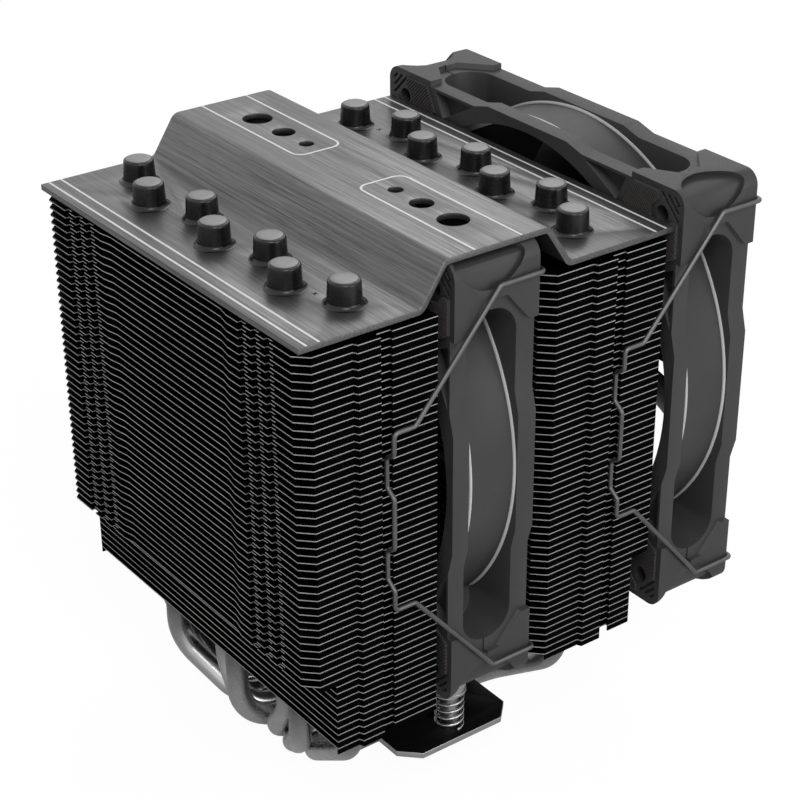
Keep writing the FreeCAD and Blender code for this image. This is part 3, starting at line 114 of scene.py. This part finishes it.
def stageFloor():
    bm = bmesh.new()
    bmesh.ops.create_circle(bm, cap_ends=True, radius=6, segments=64)
    mesh = bpy.data.meshes.new("floor")
    bm.to_mesh(mesh)
    bm.free()
    item = bpy.data.objects.new("floor", mesh)
    bpy.context.scene.collection.objects.link(item)
    material = bpy.data.materials.new("paleFloor")
    material.use_nodes = True
    tree = material.node_tree
    shader = tree.nodes["Principled BSDF"]
    shader.inputs["Base Color"].default_value = (studio["floor"],) * 3 + (1,)
    shader.inputs["Roughness"].default_value = 0.9
    shader.inputs["Specular IOR Level"].default_value = 0.1
    seen = tree.nodes.new("ShaderNodeLightPath")
    glow, mix, part = (tree.nodes.new(f"ShaderNode{k}") for k in ("Emission", "MixShader", "Math"))
    part.operation = "MULTIPLY"
    part.inputs[1].default_value = studio["floorShown"]
    glow.inputs["Strength"].default_value = studio["floorGlow"]
    tree.links.new(seen.outputs["Is Camera Ray"], part.inputs[0])
    tree.links.new(part.outputs[0], mix.inputs[0])
    tree.links.new(shader.outputs[0], mix.inputs[1])
    tree.links.new(glow.outputs[0], mix.inputs[2])
    tree.links.new(mix.outputs[0], tree.nodes["Material Output"].inputs[0])
    mesh.materials.append(material)


bpy.context.scene.view_settings.view_transform = "Standard"
madeCamera()
litWorld()
stageFloor()
for lamp, (place, width, power) in lamps.items():
    softLight(lamp, place, studio["aim"], width, power)
print("stage, camera and lights")


# finishes
class Look:  # a material's node tree, with short ways to add nodes
    def __init__(self, name):
        self.material = bpy.data.materials.new(name)
        self.material.use_nodes = True
        self.tree = self.material.node_tree
        self.shader = self.tree.nodes["Principled BSDF"]
        self.place = self.tree.nodes.new("ShaderNodeTexCoord").outputs["Object"]

    def join(self, source, socket):
        if isinstance(source, (int, float)):
            socket.default_value = source
        elif isinstance(source, tuple):
            socket.default_value = source + (1,) * (len(socket.default_value) - len(source))
        else:
            self.tree.links.new(source, socket)

    def math(self, operation, first, second=0.0, third=0.0):
        node = self.tree.nodes.new("ShaderNodeMath")
        node.operation = operation
        for source, socket in zip((first, second, third), node.inputs):
            self.join(source, socket)
        return node.outputs[0]

    def split(self, vector):
        node = self.tree.nodes.new("ShaderNodeSeparateXYZ")
        self.join(vector, node.inputs[0])
        return node.outputs

    def grain(self, scale, detail=3.0, roughness=0.6):
        stretch = self.tree.nodes.new("ShaderNodeMapping")
        stretch.inputs["Scale"].default_value = scale
        self.join(self.place, stretch.inputs["Vector"])
        node = self.tree.nodes.new("ShaderNodeTexNoise")
        node.inputs["Scale"].default_value = 1
        node.inputs["Detail"].default_value = detail
        node.inputs["Roughness"].default_value = roughness
        self.join(stretch.outputs[0], node.inputs["Vector"])
        return node.outputs[0]

    def ranged(self, source, low, high, start=0.3, end=0.7):
        node = self.tree.nodes.new("ShaderNodeMapRange")
        for socket, value in zip(node.inputs, (source, start, end, low, high)):
            self.join(value, socket)
        return node.outputs[0]

    def blend(self, share, first, second):
        node = self.tree.nodes.new("ShaderNodeMix")
        node.data_type = "RGBA"
        self.join(share, node.inputs[0])
        self.join(first, node.inputs[6])
        self.join(second, node.inputs[7])
        return node.outputs[2]

    def bump(self, height, depth, strength=1.0, before=None):
        node = self.tree.nodes.new("ShaderNodeBump")
        node.inputs["Distance"].default_value = depth
        node.inputs["Strength"].default_value = strength
        self.join(height, node.inputs["Height"])
        if before is not None:
            self.join(before, node.inputs["Normal"])
        return node.outputs[0]

    def set(self, **values):
        names = {"colour": "Base Color", "metal": "Metallic", "rough": "Roughness", "normal": "Normal",
                 "coat": "Coat Weight", "coatRough": "Coat Roughness", "specular": "Specular IOR Level"}
        for key, value in values.items():
            self.join(value, self.shader.inputs[names[key]])
        return self.material


def shade(colour, share):
    return tuple(channel * share for channel in colour)


def grained(name, colour, metal, rough, grain, depth=0.01 * mm, uneven=0.18, roughSpread=0.12, **more):
    # A finish with fine grain: colour, roughness and relief vary together, over a slower drift in tone.
    look = Look(name)
    fine = look.grain(grain, 5)
    slow = look.grain((60, 60, 60), 2)
    tone = look.math("ADD", look.math("MULTIPLY", fine, 0.6), look.math("MULTIPLY", slow, 0.4))
    return look.set(
        colour=look.blend(look.ranged(tone, 0, 1), shade(colour, 1 - uneven), shade(colour, 1 + uneven)),
        metal=metal, rough=look.ranged(fine, rough - roughSpread, rough + roughSpread),
        normal=look.bump(fine, depth), **more)


fins = {"pitch": 2.036 * mm, "firstUp": 1.5 * mm, "inset": 0.07 * mm, "edgeHighlightBand": 0.26 * mm,
        "coating": (0.0012, 0.0012, 0.0014), "bareEdgeHighlight": (0.46, 0.46, 0.47)}


def finFinish():
    # Black coating, with the sheared edge of each sheet coloured as lighter bare metal: a painted highlight
    # along the sheet edges.
    look = Look("blackFin")
    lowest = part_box("fins_front_lower")[0].z + fins["firstUp"]
    height = look.math("SUBTRACT", look.split(look.place)[2], lowest + fins["inset"])
    step = look.math("FLOORED_MODULO", height, fins["pitch"])
    inSheet = look.math("LESS_THAN", step, fins["edgeHighlightBand"])
    facing = look.tree.nodes.new("ShaderNodeNewGeometry").outputs["Normal"]
    upright = look.math("LESS_THAN", look.math("ABSOLUTE", look.split(facing)[2]), 0.3)
    edgeHighlightSpread = look.grain((300, 300, 60), 4)
    # lighter edge colour on upright faces within each sheet's thickness: painted highlight
    bareEdgeHighlight = look.math("MULTIPLY", look.math("MULTIPLY", inSheet, upright), look.ranged(edgeHighlightSpread, 0.72, 1.0))
    cast = look.grain((900, 900, 900), 4)
    return look.set(colour=look.blend(bareEdgeHighlight, fins["coating"], fins["bareEdgeHighlight"]),
                    metal=look.math("MULTIPLY", bareEdgeHighlight, 0.8),
                    rough=look.ranged(cast, 0.5, 0.62),
                    normal=look.bump(cast, 0.01 * mm, 0.6), specular=0.01)


cover = {"colour": (0.07, 0.07, 0.071), "pale": (0.2, 0.2, 0.203), "rough": 0.4,
         "line": 0.62 * mm, "lineHigh": 0.04 * mm, "lineColour": (0.95, 0.95, 0.95)}


def coverFinish():
    # Anodised sheet brushed along X: thin strokes of two lengths.
    look = Look("brushedCover")
    short = look.grain((60, 3400, 3400), 3, 0.8)
    longer = look.grain((22, 1700, 1700), 3, 0.75)
    tone = look.math("ADD", look.math("MULTIPLY", short, 0.5), look.math("MULTIPLY", longer, 0.5))
    return look.set(colour=look.blend(look.ranged(tone, 0, 1, 0.34, 0.66), cover["colour"], cover["pale"]),
                    metal=0.85, rough=look.ranged(tone, cover["rough"] + 0.1, cover["rough"] - 0.1),
                    normal=look.bump(short, 0.02 * mm, 0.4))


def turnedFinish(name, colour, rough, rings):
    # Fine lathe rings round an upright axis show as bands in height.
    look = Look(name)
    bands = look.grain((40, 40, rings), 2)
    return look.set(colour=look.blend(look.ranged(bands, 0, 1), shade(colour, 0.8), shade(colour, 1.12)),
                    metal=1.0, rough=look.ranged(bands, rough - 0.08, rough + 0.1),
                    normal=look.bump(bands, 0.01 * mm, 0.6))


def pipeFinish():
    # Dark nickel, painted lighter towards the base where the pipes come out of it: painted light.
    look = Look("darkNickel")
    height = look.split(look.place)[2]
    drift = look.grain((150, 150, 150), 4)
    paintedLightLow = look.ranged(look.math("ADD", height, look.math("MULTIPLY", drift, 8 * mm)), 1.0, 0.0,
                         12 * mm, 40 * mm)
    colour = look.blend(paintedLightLow, (0.04, 0.04, 0.041), (0.6, 0.6, 0.605))
    return look.set(colour=colour, metal=1.0, rough=look.ranged(drift, 0.2, 0.36),
                    normal=look.bump(look.grain((500, 500, 500), 3), 0.01 * mm, 0.4))


def plasticFinish(name, colour, rough, grainSize, depth, specular=0.4):
    # Moulded plastic with a fine spark-eroded texture.
    look = Look(name)
    texture = look.grain((grainSize,) * 3, 2)
    slow = look.grain((45, 45, 45), 3)
    return look.set(colour=look.blend(look.ranged(slow, 0, 1), shade(colour, 0.9), shade(colour, 1.1)),
                    rough=look.ranged(texture, rough - 0.06, rough + 0.08),
                    normal=look.bump(texture, depth, 0.7), specular=specular)


def woundFinish():
    # Enamelled wire laid side by side round each pole; the colour darkens into the grooves between turns,
    # painted shade.
    look = Look("copperWire")
    wave = look.tree.nodes.new("ShaderNodeTexWave")
    wave.bands_direction = "DIAGONAL"
    wave.inputs["Scale"].default_value = 900
    wave.inputs["Distortion"].default_value = 0.6
    look.join(look.place, wave.inputs["Vector"])
    turns = wave.outputs["Fac"]
    return look.set(colour=look.blend(turns, (0.32, 0.10, 0.03), (0.72, 0.30, 0.10)), metal=0.9, rough=0.32,
                    normal=look.bump(turns, 0.08 * mm))


def laminatedFinish():
    look = Look("laminatedIron")
    sheets = look.grain((30, 2600, 30), 1)
    return look.set(colour=look.blend(look.ranged(sheets, 0, 1), (0.16, 0.16, 0.17), (0.34, 0.34, 0.35)),
                    metal=1.0, rough=0.42, normal=look.bump(sheets, 0.03 * mm))


def boardFinish():
    # Green lacquer over copper tracks.
    look = Look("boardLaminate")
    cells = look.tree.nodes.new("ShaderNodeTexVoronoi")
    cells.feature = "DISTANCE_TO_EDGE"
    cells.inputs["Scale"].default_value = 420
    look.join(look.place, cells.inputs["Vector"])
    track = look.ranged(cells.outputs["Distance"], 1, 0, 0.03, 0.07)
    return look.set(colour=look.blend(track, (0.012, 0.085, 0.03), (0.05, 0.22, 0.08)), rough=0.3,
                    coat=0.4, coatRough=0.15, normal=look.bump(track, 0.03 * mm))


finish = {
    "fin": finFinish(),
    "cover": coverFinish(),
    "print": grained("whitePrint", cover["lineColour"], 0.0, 0.45, (2500, 2500, 2500), uneven=0.04),
    "punchShade": grained("punchShadeMark", (0.01, 0.01, 0.01), 0.2, 0.6, (2500, 2500, 2500)),
    "cap": grained("glossBlack", (0.008, 0.008, 0.0085), 0.0, 0.26, (700, 700, 700), 0.004 * mm,
                   roughSpread=0.05, specular=0.4),
    "capTop": grained("capTop", (0.27, 0.27, 0.275), 0.1, 0.42, (1600, 1600, 1600), 0.006 * mm, uneven=0.08),
    "frame": plasticFinish("charcoalPlastic", (0.045, 0.045, 0.046), 0.52, 2600, 0.012 * mm, 0.35),
    "lip": plasticFinish("ductLipHighlight", (0.62, 0.62, 0.63), 0.3, 2600, 0.006 * mm),
    "blade": plasticFinish("bladePlastic", (0.018, 0.018, 0.019), 0.42, 3000, 0.006 * mm),
    "pad": plasticFinish("padRubber", (0.056, 0.052, 0.050), 0.75, 1800, 0.03 * mm),
    "wire": grained("drawnWire", (0.13, 0.13, 0.133), 0.8, 0.42, (200, 200, 200), 0.006 * mm),
    "spring": grained("springSteel", (0.52, 0.52, 0.53), 1.0, 0.28, (900, 900, 900), 0.005 * mm),
    "screw": turnedFinish("turnedSteel", (0.50, 0.50, 0.505), 0.3, 5200),
    "bar": grained("blackBar", (0.005, 0.005, 0.0055), 0.1, 0.42, (1200, 1200, 1200), 0.01 * mm,
                   specular=0.15),
    "barEdge": grained("bareEdge", (0.42, 0.42, 0.43), 1.0, 0.35, (100, 100, 2500), 0.01 * mm),
    "base": grained("machinedBase", (0.42, 0.42, 0.43), 1.0, 0.34, (30, 1500, 600), 0.01 * mm),
    "plate": grained("nickelPlate", (0.60, 0.585, 0.56), 1.0, 0.24, (1700, 30, 30), 0.008 * mm, uneven=0.08),
    "pipe": pipeFinish(),
    "iron": laminatedFinish(),
    "yoke": grained("drawnSteel", (0.30, 0.30, 0.31), 1.0, 0.34, (60, 1500, 60), 0.01 * mm),
    "ferrite": grained("boundFerrite", (0.028, 0.027, 0.027), 0.1, 0.7, (2200, 2200, 2200), 0.03 * mm),
    "copper": woundFinish(),
    "board": boardFinish(),
    "bearing": grained("sinteredBronze", (0.36, 0.24, 0.11), 1.0, 0.42, (3200, 3200, 3200), 0.02 * mm),
}
print("finishes")


# shared ways to make and place a piece
def cleanCopy(node, flatten=True):
    bm = bmesh.new()
    bm.from_mesh(nodes[node].data)
    bmesh.ops.remove_doubles(bm, verts=bm.verts, dist=0.002 * mm)
    if flatten:
        bmesh.ops.dissolve_limit(bm, angle_limit=radians(0.6), verts=bm.verts, edges=bm.edges)
    return bm


def softenEdges(bm, width, sharpest=35, segments=2, wanted=None):
    edges = [e for e in bm.edges if len(e.link_faces) == 2 and e.calc_face_angle() > radians(sharpest)
             and (wanted is None or wanted(e))]
    bmesh.ops.bevel(bm, geom=edges, offset=width, segments=segments, profile=0.5, affect="EDGES",
                    material=-1, clamp_overlap=True)


def finished(name, bm, body, looks, replaced=(), smooth=38):
    mesh = bpy.data.meshes.new(name)
    bm.to_mesh(mesh)
    bm.free()
    mesh.shade_smooth()
    mesh.set_sharp_from_angle(angle=radians(smooth))
    mesh.materials.clear()
    for look in looks if isinstance(looks, list) else [looks]:
        mesh.materials.append(look)
    item = bpy.data.objects.new(name, mesh)
    bpy.context.scene.collection.objects.link(item)
    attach(item, body)
    if replaced:
        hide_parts(*replaced)
    return item


def lathed(profile, centre, axis=(0, 0, 1), across=(1, 0, 0), segments=48):
    # Spins a profile of (radius, along) pairs round an axis; ends on the axis close to a point.
    bm = bmesh.new()
    middle, axis, across = Vector(centre), Vector(axis), Vector(across)
    chain = [bm.verts.new(middle + across * r + axis * h) for r, h in profile]
    edges = [bm.edges.new(pair) for pair in zip(chain, chain[1:])]
    bmesh.ops.spin(bm, geom=chain + edges, cent=middle, axis=axis, angle=tau, steps=segments, use_merge=True)
    bmesh.ops.remove_doubles(bm, verts=bm.verts, dist=0.001 * mm)
    bmesh.ops.recalc_face_normals(bm, faces=bm.faces)
    return bm


def addAll(bm, other, shift=(0, 0, 0), turn=None):
    # Adds a copy of one bmesh to another.
    mesh = bpy.data.meshes.new("loose")
    other.to_mesh(mesh)
    mesh.transform(Matrix.Translation(shift) @ (turn or Matrix.Identity(4)))
    bm.from_mesh(mesh)
    bpy.data.meshes.remove(mesh)


def box(bm, low, high):
    middle, extent = (Vector(low) + Vector(high)) / 2, Vector(high) - Vector(low)
    made = bmesh.ops.create_cube(bm, size=1)["verts"]
    bmesh.ops.scale(bm, vec=extent, verts=made)
    bmesh.ops.translate(bm, vec=middle, verts=made)
    return made


def booled(bm, cutter, operation):
    # The shape left after a boolean of two closed meshes.
    objects = []
    for each in (bm, cutter):
        mesh = bpy.data.meshes.new("boolean")
        each.to_mesh(mesh)
        each.free()
        item = bpy.data.objects.new("boolean", mesh)
        bpy.context.scene.collection.objects.link(item)
        objects.append(item)
    modifier = objects[0].modifiers.new("cut", "BOOLEAN")
    modifier.operation, modifier.solver, modifier.object = operation, "MANIFOLD", objects[1]
    result = bmesh.new()
    result.from_object(objects[0], bpy.context.evaluated_depsgraph_get())
    for item in objects:
        bpy.data.meshes.remove(item.data)
    return result


# base, bar and pipes
base = {"edge": 0.18 * mm, "barEdge": 0.12 * mm}


def metalPiece(node, look, edge, body="heatsink", sharpest=35):
    bm = cleanCopy(node)
    if edge:
        softenEdges(bm, edge, sharpest)
    return finished(f"{node}_shape", bm, body, look, [node])


metalPiece("cold_plate", finish["plate"], base["edge"], sharpest=60)
metalPiece("base_block", finish["base"], base["edge"], sharpest=60)
bar = metalPiece("mounting_bar", [finish["bar"], finish["barEdge"]], base["barEdge"])
for face in bar.data.polygons:  # the sheared rim is bare, its flats are coated
    if abs(face.normal.z) < 0.9:
        face.material_index = 1
metalPiece("bar_screws", finish["screw"], 0.12 * mm)
for k in range(1, 8):
    metalPiece(f"heat_pipe_{k}", finish["pipe"], 0)
for side in ("left", "right"):
    screw = f"screw_{side}"
    metalPiece(f"spring_{screw}", finish["screw"], 0.12 * mm, screw)
    metalPiece(f"screw_keeper_{side}", finish["screw"], 0.06 * mm, screw)
    metalPiece(f"spring_washer_{side}", finish["screw"], 0.1 * mm, f"screw_carrier_{side}")
print("base, bar, pipes and screws")

# cover plate, its printed lines, and punch marks drawn as flat black crosses, painted shade in place of the
# punched dents
marks = {"bridgeHalf": 6.85 * mm, "bridgeShift": 0.17 * mm, "ends": (-13.0 * mm, 11.9 * mm),
         "corner": 3.0 * mm,
         "flats": (49.37 * mm, 52.76 * mm), "punches": ((37.2, -36.3), (-38.0, 36.5)), "edge": 0.18 * mm}


def ribbonLine(bm, points, width, low, high):
    # A flat printed line through points, given as (x, y), standing up from low to high.
    chain = [bm.verts.new((x, y, low)) for x, y in points]
    edges = [bm.edges.new(pair) for pair in zip(chain, chain[1:])]
    sides = []
    for k, vert in enumerate(chain):
        before, after = chain[max(k - 1, 0)].co, chain[min(k + 1, len(chain) - 1)].co
        ahead = (after - before).normalized()
        sides.append(Vector((-ahead.y, ahead.x, 0)) * width)
    grown = bmesh.ops.extrude_edge_only(bm, edges=edges)["geom"]
    fresh = [v for v in grown if isinstance(v, bmesh.types.BMVert)]
    for k, vert in enumerate(chain):
        twin = min(fresh, key=lambda v: (v.co - vert.co).length)
        fresh.remove(twin)
        vert.co -= sides[k] / 2
        twin.co += sides[k] / 2
    faces = list({f for v in chain for f in v.link_faces})
    walls = bmesh.ops.extrude_face_region(bm, geom=faces)["geom"]
    risen = [v for v in walls if isinstance(v, bmesh.types.BMVert)]
    bmesh.ops.translate(bm, vec=(0, 0, high - low), verts=risen)
    bmesh.ops.recalc_face_normals(bm, faces=bm.faces)


def coverPlate():
    low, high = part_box("cover_plate")
    sink = cover["lineHigh"]
    bm = cleanCopy("cover_plate")
    softenEdges(bm, marks["edge"], 60)
    bmesh.ops.translate(bm, vec=(0, 0, -sink), verts=bm.verts)
    finished("cover_sheet", bm, "heatsink", finish["cover"], ["cover_plate"])

    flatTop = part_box("pipe_collars")[0].z
    lines = bmesh.new()
    for y in marks["flats"]:
        for side in (-1, 1):
            ribbonLine(lines, [(low.x + 0.2 * mm, side * y), (high.x - 0.2 * mm, side * y)], cover["line"],
                       flatTop - 2 * sink, flatTop)
    half, shift, corner = marks["bridgeHalf"], marks["bridgeShift"], marks["corner"]
    for end, edge in zip(marks["ends"], (low.x + 0.2 * mm, high.x - 0.2 * mm)):
        way = 1 if edge > end else -1
        points = [(edge, shift - half)]
        for side in (-1, 1):
            centre = (end + way * corner, shift + side * (half - corner))
            turns = [k * pi / 16 for k in range(9)]
            for turn in turns if side > 0 else turns[::-1]:
                points.append((centre[0] - way * corner * cos(turn), centre[1] + side * corner * sin(turn)))
        points.append((edge, shift + half))
        ribbonLine(lines, points, cover["line"], high.z - 2 * sink, high.z)
    finished("cover_lines", lines, "heatsink", finish["print"])

    # the punch marks are thin flat black crosses: painted shade standing for the dents
    punches = bmesh.new()
    for x, y in marks["punches"]:
        for turn in (pi / 4, -pi / 4):
            made = box(punches, (-0.85 * mm, -0.2 * mm, flatTop - 2 * sink),
                       (0.85 * mm, 0.2 * mm, flatTop - 0.6 * sink))
            bmesh.ops.rotate(punches, verts=made, cent=(0, 0, 0), matrix=Matrix.Rotation(turn, 3, "Z"))
            bmesh.ops.translate(punches, verts=made, vec=(x * mm, y * mm, 0))
    finished("punch_shade_marks", punches, "heatsink", finish["punchShade"])
    return flatTop


flatTop = coverPlate()
print("cover plate")

# pipe caps and collars
caps = {"foot": 4.2 * mm, "top": 3.88 * mm, "high": 6.15 * mm, "rim": 0.5 * mm, "step": 0.22 * mm,
        "collar": 5.28 * mm, "collarHigh": 1.0 * mm, "pitch": 15.04 * mm, "near": 33.67 * mm,
        "far": 39.64 * mm}


def capProfile():
    foot, top, high, rim, step = (caps[k] for k in ("foot", "top", "high", "rim", "step"))
    turns = (pi / 2, pi / 3, pi / 6, 0)
    shoulder = [(top - rim * (1 - sin(t)), high - step - rim * (1 - cos(t))) for t in turns]
    disc = [(top - rim - 0.12 * mm, high - step), (top - rim - 0.16 * mm, high - 0.08 * mm),
            (top - rim - 0.3 * mm, high), (0.4 * top, high), (0, high)]
    wall = [(foot - 0.5 * mm, 0), (foot, 0), (foot - 0.04 * mm, 0.8 * mm), (top + 0.05 * mm, high - 1.6 * mm)]
    return wall + shoulder + disc


def collarProfile():
    out, inner, high = caps["collar"], caps["foot"] + 0.04 * mm, caps["collarHigh"]
    turns = [k * pi / 12 for k in range(7)]
    flare = [(inner + (out - inner) * (1 - sin(t)), high * (1 - cos(t)) ** 0.8) for t in turns]
    return [(inner, 0), (out, 0)] + flare[1:] + [(inner, high)]


legs = [(k * caps["pitch"], caps["near"] if k % 2 else caps["far"]) for k in range(-3, 4)]
for side, name in ((-1, "front"), (1, "rear")):
    bm = bmesh.new()
    for x, y in legs:
        one = lathed(capProfile(), (x, side * y, flatTop))
        addAll(bm, one)
        one.free()
    piece = finished(f"caps_{name}", bm, "heatsink", [finish["cap"], finish["capTop"]],
                     [f"pipe_caps_{name}"], smooth=50)
    discs = flatTop + caps["high"] - 0.5 * caps["step"]
    for face in piece.data.polygons:
        if face.center.z > discs:
            face.material_index = 1
bm = bmesh.new()
for side in (-1, 1):
    for x, y in legs:
        one = lathed(collarProfile(), (x, side * y, flatTop))
        addAll(bm, one)
        one.free()
finished("collar_rings", bm, "heatsink", finish["cap"], ["pipe_collars"])
print("caps and collars")

# fins keep their own sheets
for node in ("fins_front_upper", "fins_front_lower", "fins_rear_upper", "fins_rear_lower"):
    nodes[node].data.materials.clear()
    nodes[node].data.materials.append(finish["fin"])
print("fins")

# fans
fan = {"sunk": 58.4 * mm, "line": 0.5 * mm, "slotDeep": 0.9 * mm, "slotWide": 0.75 * mm,
       "slotEnd": 58.4, "edge": 0.28 * mm, "inside": 0.3 * mm,
       "highlightBeads": {"rear": (7.3 * mm, 0.7 * mm), "front": (-6.6 * mm, 0.45 * mm)}}
slots = (80.95, 79.4, 77.85)  # how far out along the diagonal, in mm


def frameCutters():
    # One corner: slots across its front, and the seam from a window's end to the corner block.
    one = bmesh.new()
    for out in slots:
        reach = (2 ** 0.5 * fan["slotEnd"] - out) * mm - fan["slotWide"] / 2
        made = box(one, (-reach, -13.5 * mm, out * mm - fan["slotWide"] / 2),
                   (reach, -12.5 * mm + fan["slotDeep"], out * mm + fan["slotWide"] / 2))
        bmesh.ops.rotate(one, verts=made, cent=(0, 0, 0), matrix=Matrix.Rotation(pi / 4, 3, "Y"))
    for mirrored in (False, True):
        low, high = (fan["sunk"] - fan["line"], -1.3 * mm, 44 * mm), (61 * mm, -0.95 * mm, 49.6 * mm)
        if mirrored:
            low, high = low[::-1], high[::-1]
        box(one, low, high)
    return one


def fanFrame(prefix, body):
    low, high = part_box(f"{prefix}_frame")
    middle = (low + high) / 2
    cutters, corner = bmesh.new(), frameCutters()
    for quarter in range(4):
        addAll(cutters, corner, middle, Matrix.Rotation(quarter * pi / 2, 4, "Y"))
    corner.free()
    bmesh.ops.recalc_face_normals(cutters, faces=cutters.faces)
    bm = booled(cleanCopy(f"{prefix}_frame", False), cutters, "DIFFERENCE")
    piece = finished(f"{prefix}_housing", bm, body, finish["frame"], [f"{prefix}_frame"])
    rounding = piece.modifiers.new("edges", "BEVEL")
    rounding.width, rounding.segments, rounding.limit_method = fan["edge"], 2, "ANGLE"
    rounding.angle_limit = radians(40)
    rounding.use_clamp_overlap = True

    # pale beads where the duct meets the rear rail and, finer, the front one: their light colour is a painted
    # highlight
    for place, (along, thick) in fan["highlightBeads"].items():
        lip = high.x - middle.x - thick - fan["inside"]
        turns = [k * tau / 10 for k in range(11)]
        ring = lathed([(lip + thick * cos(t), along + thick * sin(t)) for t in turns],
                      middle, (0, 1, 0), (1, 0, 0), 128)
        finished(f"{prefix}_duct_highlight_bead_{place}", ring, body, finish["lip"])
    return middle


wheel = {"blades": 9, "hub": 20.8 * mm, "front": 11.5 * mm, "back": 8.0 * mm, "tip": 56.3 * mm,
         "thick": 1.3 * mm, "lead": 9.9 * mm, "trail": 6.6 * mm, "rootRun": 7.5 * mm,
         "tipRun": 15.0 * mm, "sweep": 0.16, "rings": 9}


def impellerShape(prefix, body, middle):
    hub, face, back = wheel["hub"], -wheel["front"], wheel["back"]
    turns = [k * pi / 12 for k in range(7)]
    edge = [(hub - 2.5 * mm * (1 - sin(t)), face + 2.5 * mm * (1 - cos(t))) for t in turns]
    profile = [(0, face), (0.5 * hub, face)] + edge + [(hub, back), (hub - 1.5 * mm, back),
               (hub - 1.5 * mm, face + 1.5 * mm), (2.6 * mm, face + 1.5 * mm)]
    bm = lathed(profile, (0, 0, 0), (0, 1, 0), (1, 0, 0), 72)
    blade = bmesh.new()
    chain = []
    for k in range(9):  # the blade's camber line at the hub
        t = k / 8
        chain.append(blade.verts.new((0, wheel["trail"] * t - wheel["lead"] * (1 - t), t)))
    edges = [blade.edges.new(pair) for pair in zip(chain, chain[1:])]
    for _ in range(wheel["rings"]):
        grown = bmesh.ops.extrude_edge_only(blade, edges=edges)["geom"]
        edges = [e for e in grown if isinstance(e, bmesh.types.BMEdge)]
        fresh = [v for v in grown if isinstance(v, bmesh.types.BMVert)]
        bmesh.ops.translate(blade, vec=(1, 0, 0), verts=fresh)
    for vert in blade.verts:  # wraps the flat strip round the hub: x is the ring, z the share along the blade
        out, t = vert.co.x / wheel["rings"], vert.co.z
        radius = hub - 0.7 * mm + (wheel["tip"] - hub + 0.7 * mm) * out
        run = wheel["rootRun"] + (wheel["tipRun"] - wheel["rootRun"]) * out
        along = run * (2 * t - 1) + 0.9 * run * t * (1 - t) * 0.5
        turn = along / radius + wheel["sweep"] * out ** 2
        vert.co = Vector((radius * cos(turn), vert.co.y + 1.2 * mm * out ** 2 * (1 - t), -radius * sin(turn)))
    bmesh.ops.recalc_face_normals(blade, faces=blade.faces)
    bmesh.ops.solidify(blade, geom=blade.faces[:], thickness=wheel["thick"])
    bmesh.ops.recalc_face_normals(blade, faces=blade.faces)
    softenEdges(blade, 0.35 * mm, 50)
    for k in range(wheel["blades"]):
        addAll(bm, blade, (0, 0, 0), Matrix.Rotation(k * tau / wheel["blades"], 4, "Y"))
    blade.free()
    bmesh.ops.translate(bm, vec=middle, verts=bm.verts)
    finished(f"{prefix}_wheel", bm, body, finish["blade"], [f"{prefix}_impeller"])


pads = {"rib": 0.36 * mm, "ribPitch": 0.78 * mm, "ribHigh": 0.3 * mm}


def ribbedPads(prefix, body, middle):
    # Each rubber corner: a thin L, and diagonal ribs that stop at its outline.
    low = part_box(f"{prefix}_corner_pads")[0]
    comb = bmesh.new()
    count = int(15 * mm / pads["ribPitch"])
    for k in range(-count, count + 1):
        made = box(comb, (-14 * mm, -1 * mm, -pads["rib"] / 2), (14 * mm, pads["ribHigh"], pads["rib"] / 2))
        bmesh.ops.translate(comb, verts=made, vec=(0, 0, k * pads["ribPitch"]))
    allCombs = bmesh.new()
    for quarter in range(4):
        turn = Matrix.Rotation(quarter * pi / 2, 4, "Y")
        at = turn @ Vector((50 * mm, 0, 50 * mm))
        place = Vector((middle.x + at.x, low.y, middle.z + at.z))
        addAll(allCombs, comb, place, turn @ Matrix.Rotation(pi / 4, 4, "Y"))
    comb.free()
    ribs = booled(cleanCopy(f"{prefix}_corner_pads"), allCombs, "INTERSECT")
    plate = cleanCopy(f"{prefix}_corner_pads")
    for vert in plate.verts:
        vert.co.y = max(vert.co.y, low.y + pads["ribHigh"])
    addAll(plate, ribs)
    ribs.free()
    finished(f"{prefix}_pads", plate, body, finish["pad"], [f"{prefix}_corner_pads"])


motor = {"rotor_cup": "yoke", "magnet_ring": "ferrite", "shaft": "screw", "lock_ring": "screw",
         "bearing": "bearing", "circuit_board": "board", "stator_core": "iron", "windings": "copper"}
fans = (("mid_fan", "heatsink", "mid_impeller"), ("rear_fan", "rear_fan", "rear_impeller"))
for prefix, body, wheelBody in fans:
    middle = fanFrame(prefix, body)
    impellerShape(prefix, wheelBody, middle)
    ribbedPads(prefix, body, middle)
    for name, look in motor.items():
        nodes[f"{prefix}_{name}"].data.materials.clear()
        nodes[f"{prefix}_{name}"].data.materials.append(finish[look])
print("fans")

# wires and springs
for end in ("mid", "rear"):
    for side in ("left", "right"):
        clip = f"{end}_clip_{side}"
        metalPiece(clip, finish["wire"], 0, clip)
for side in ("left", "right"):  # each coil stands on the bar and gets its own mesh
    node, press = f"spring_{side}", f"screw_{side}_press"
    wound = cleanCopy(node, False)
    coil = finished(f"{node}_coil", wound, "heatsink", finish["spring"], [node])
    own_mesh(coil)
print("clips and springs")
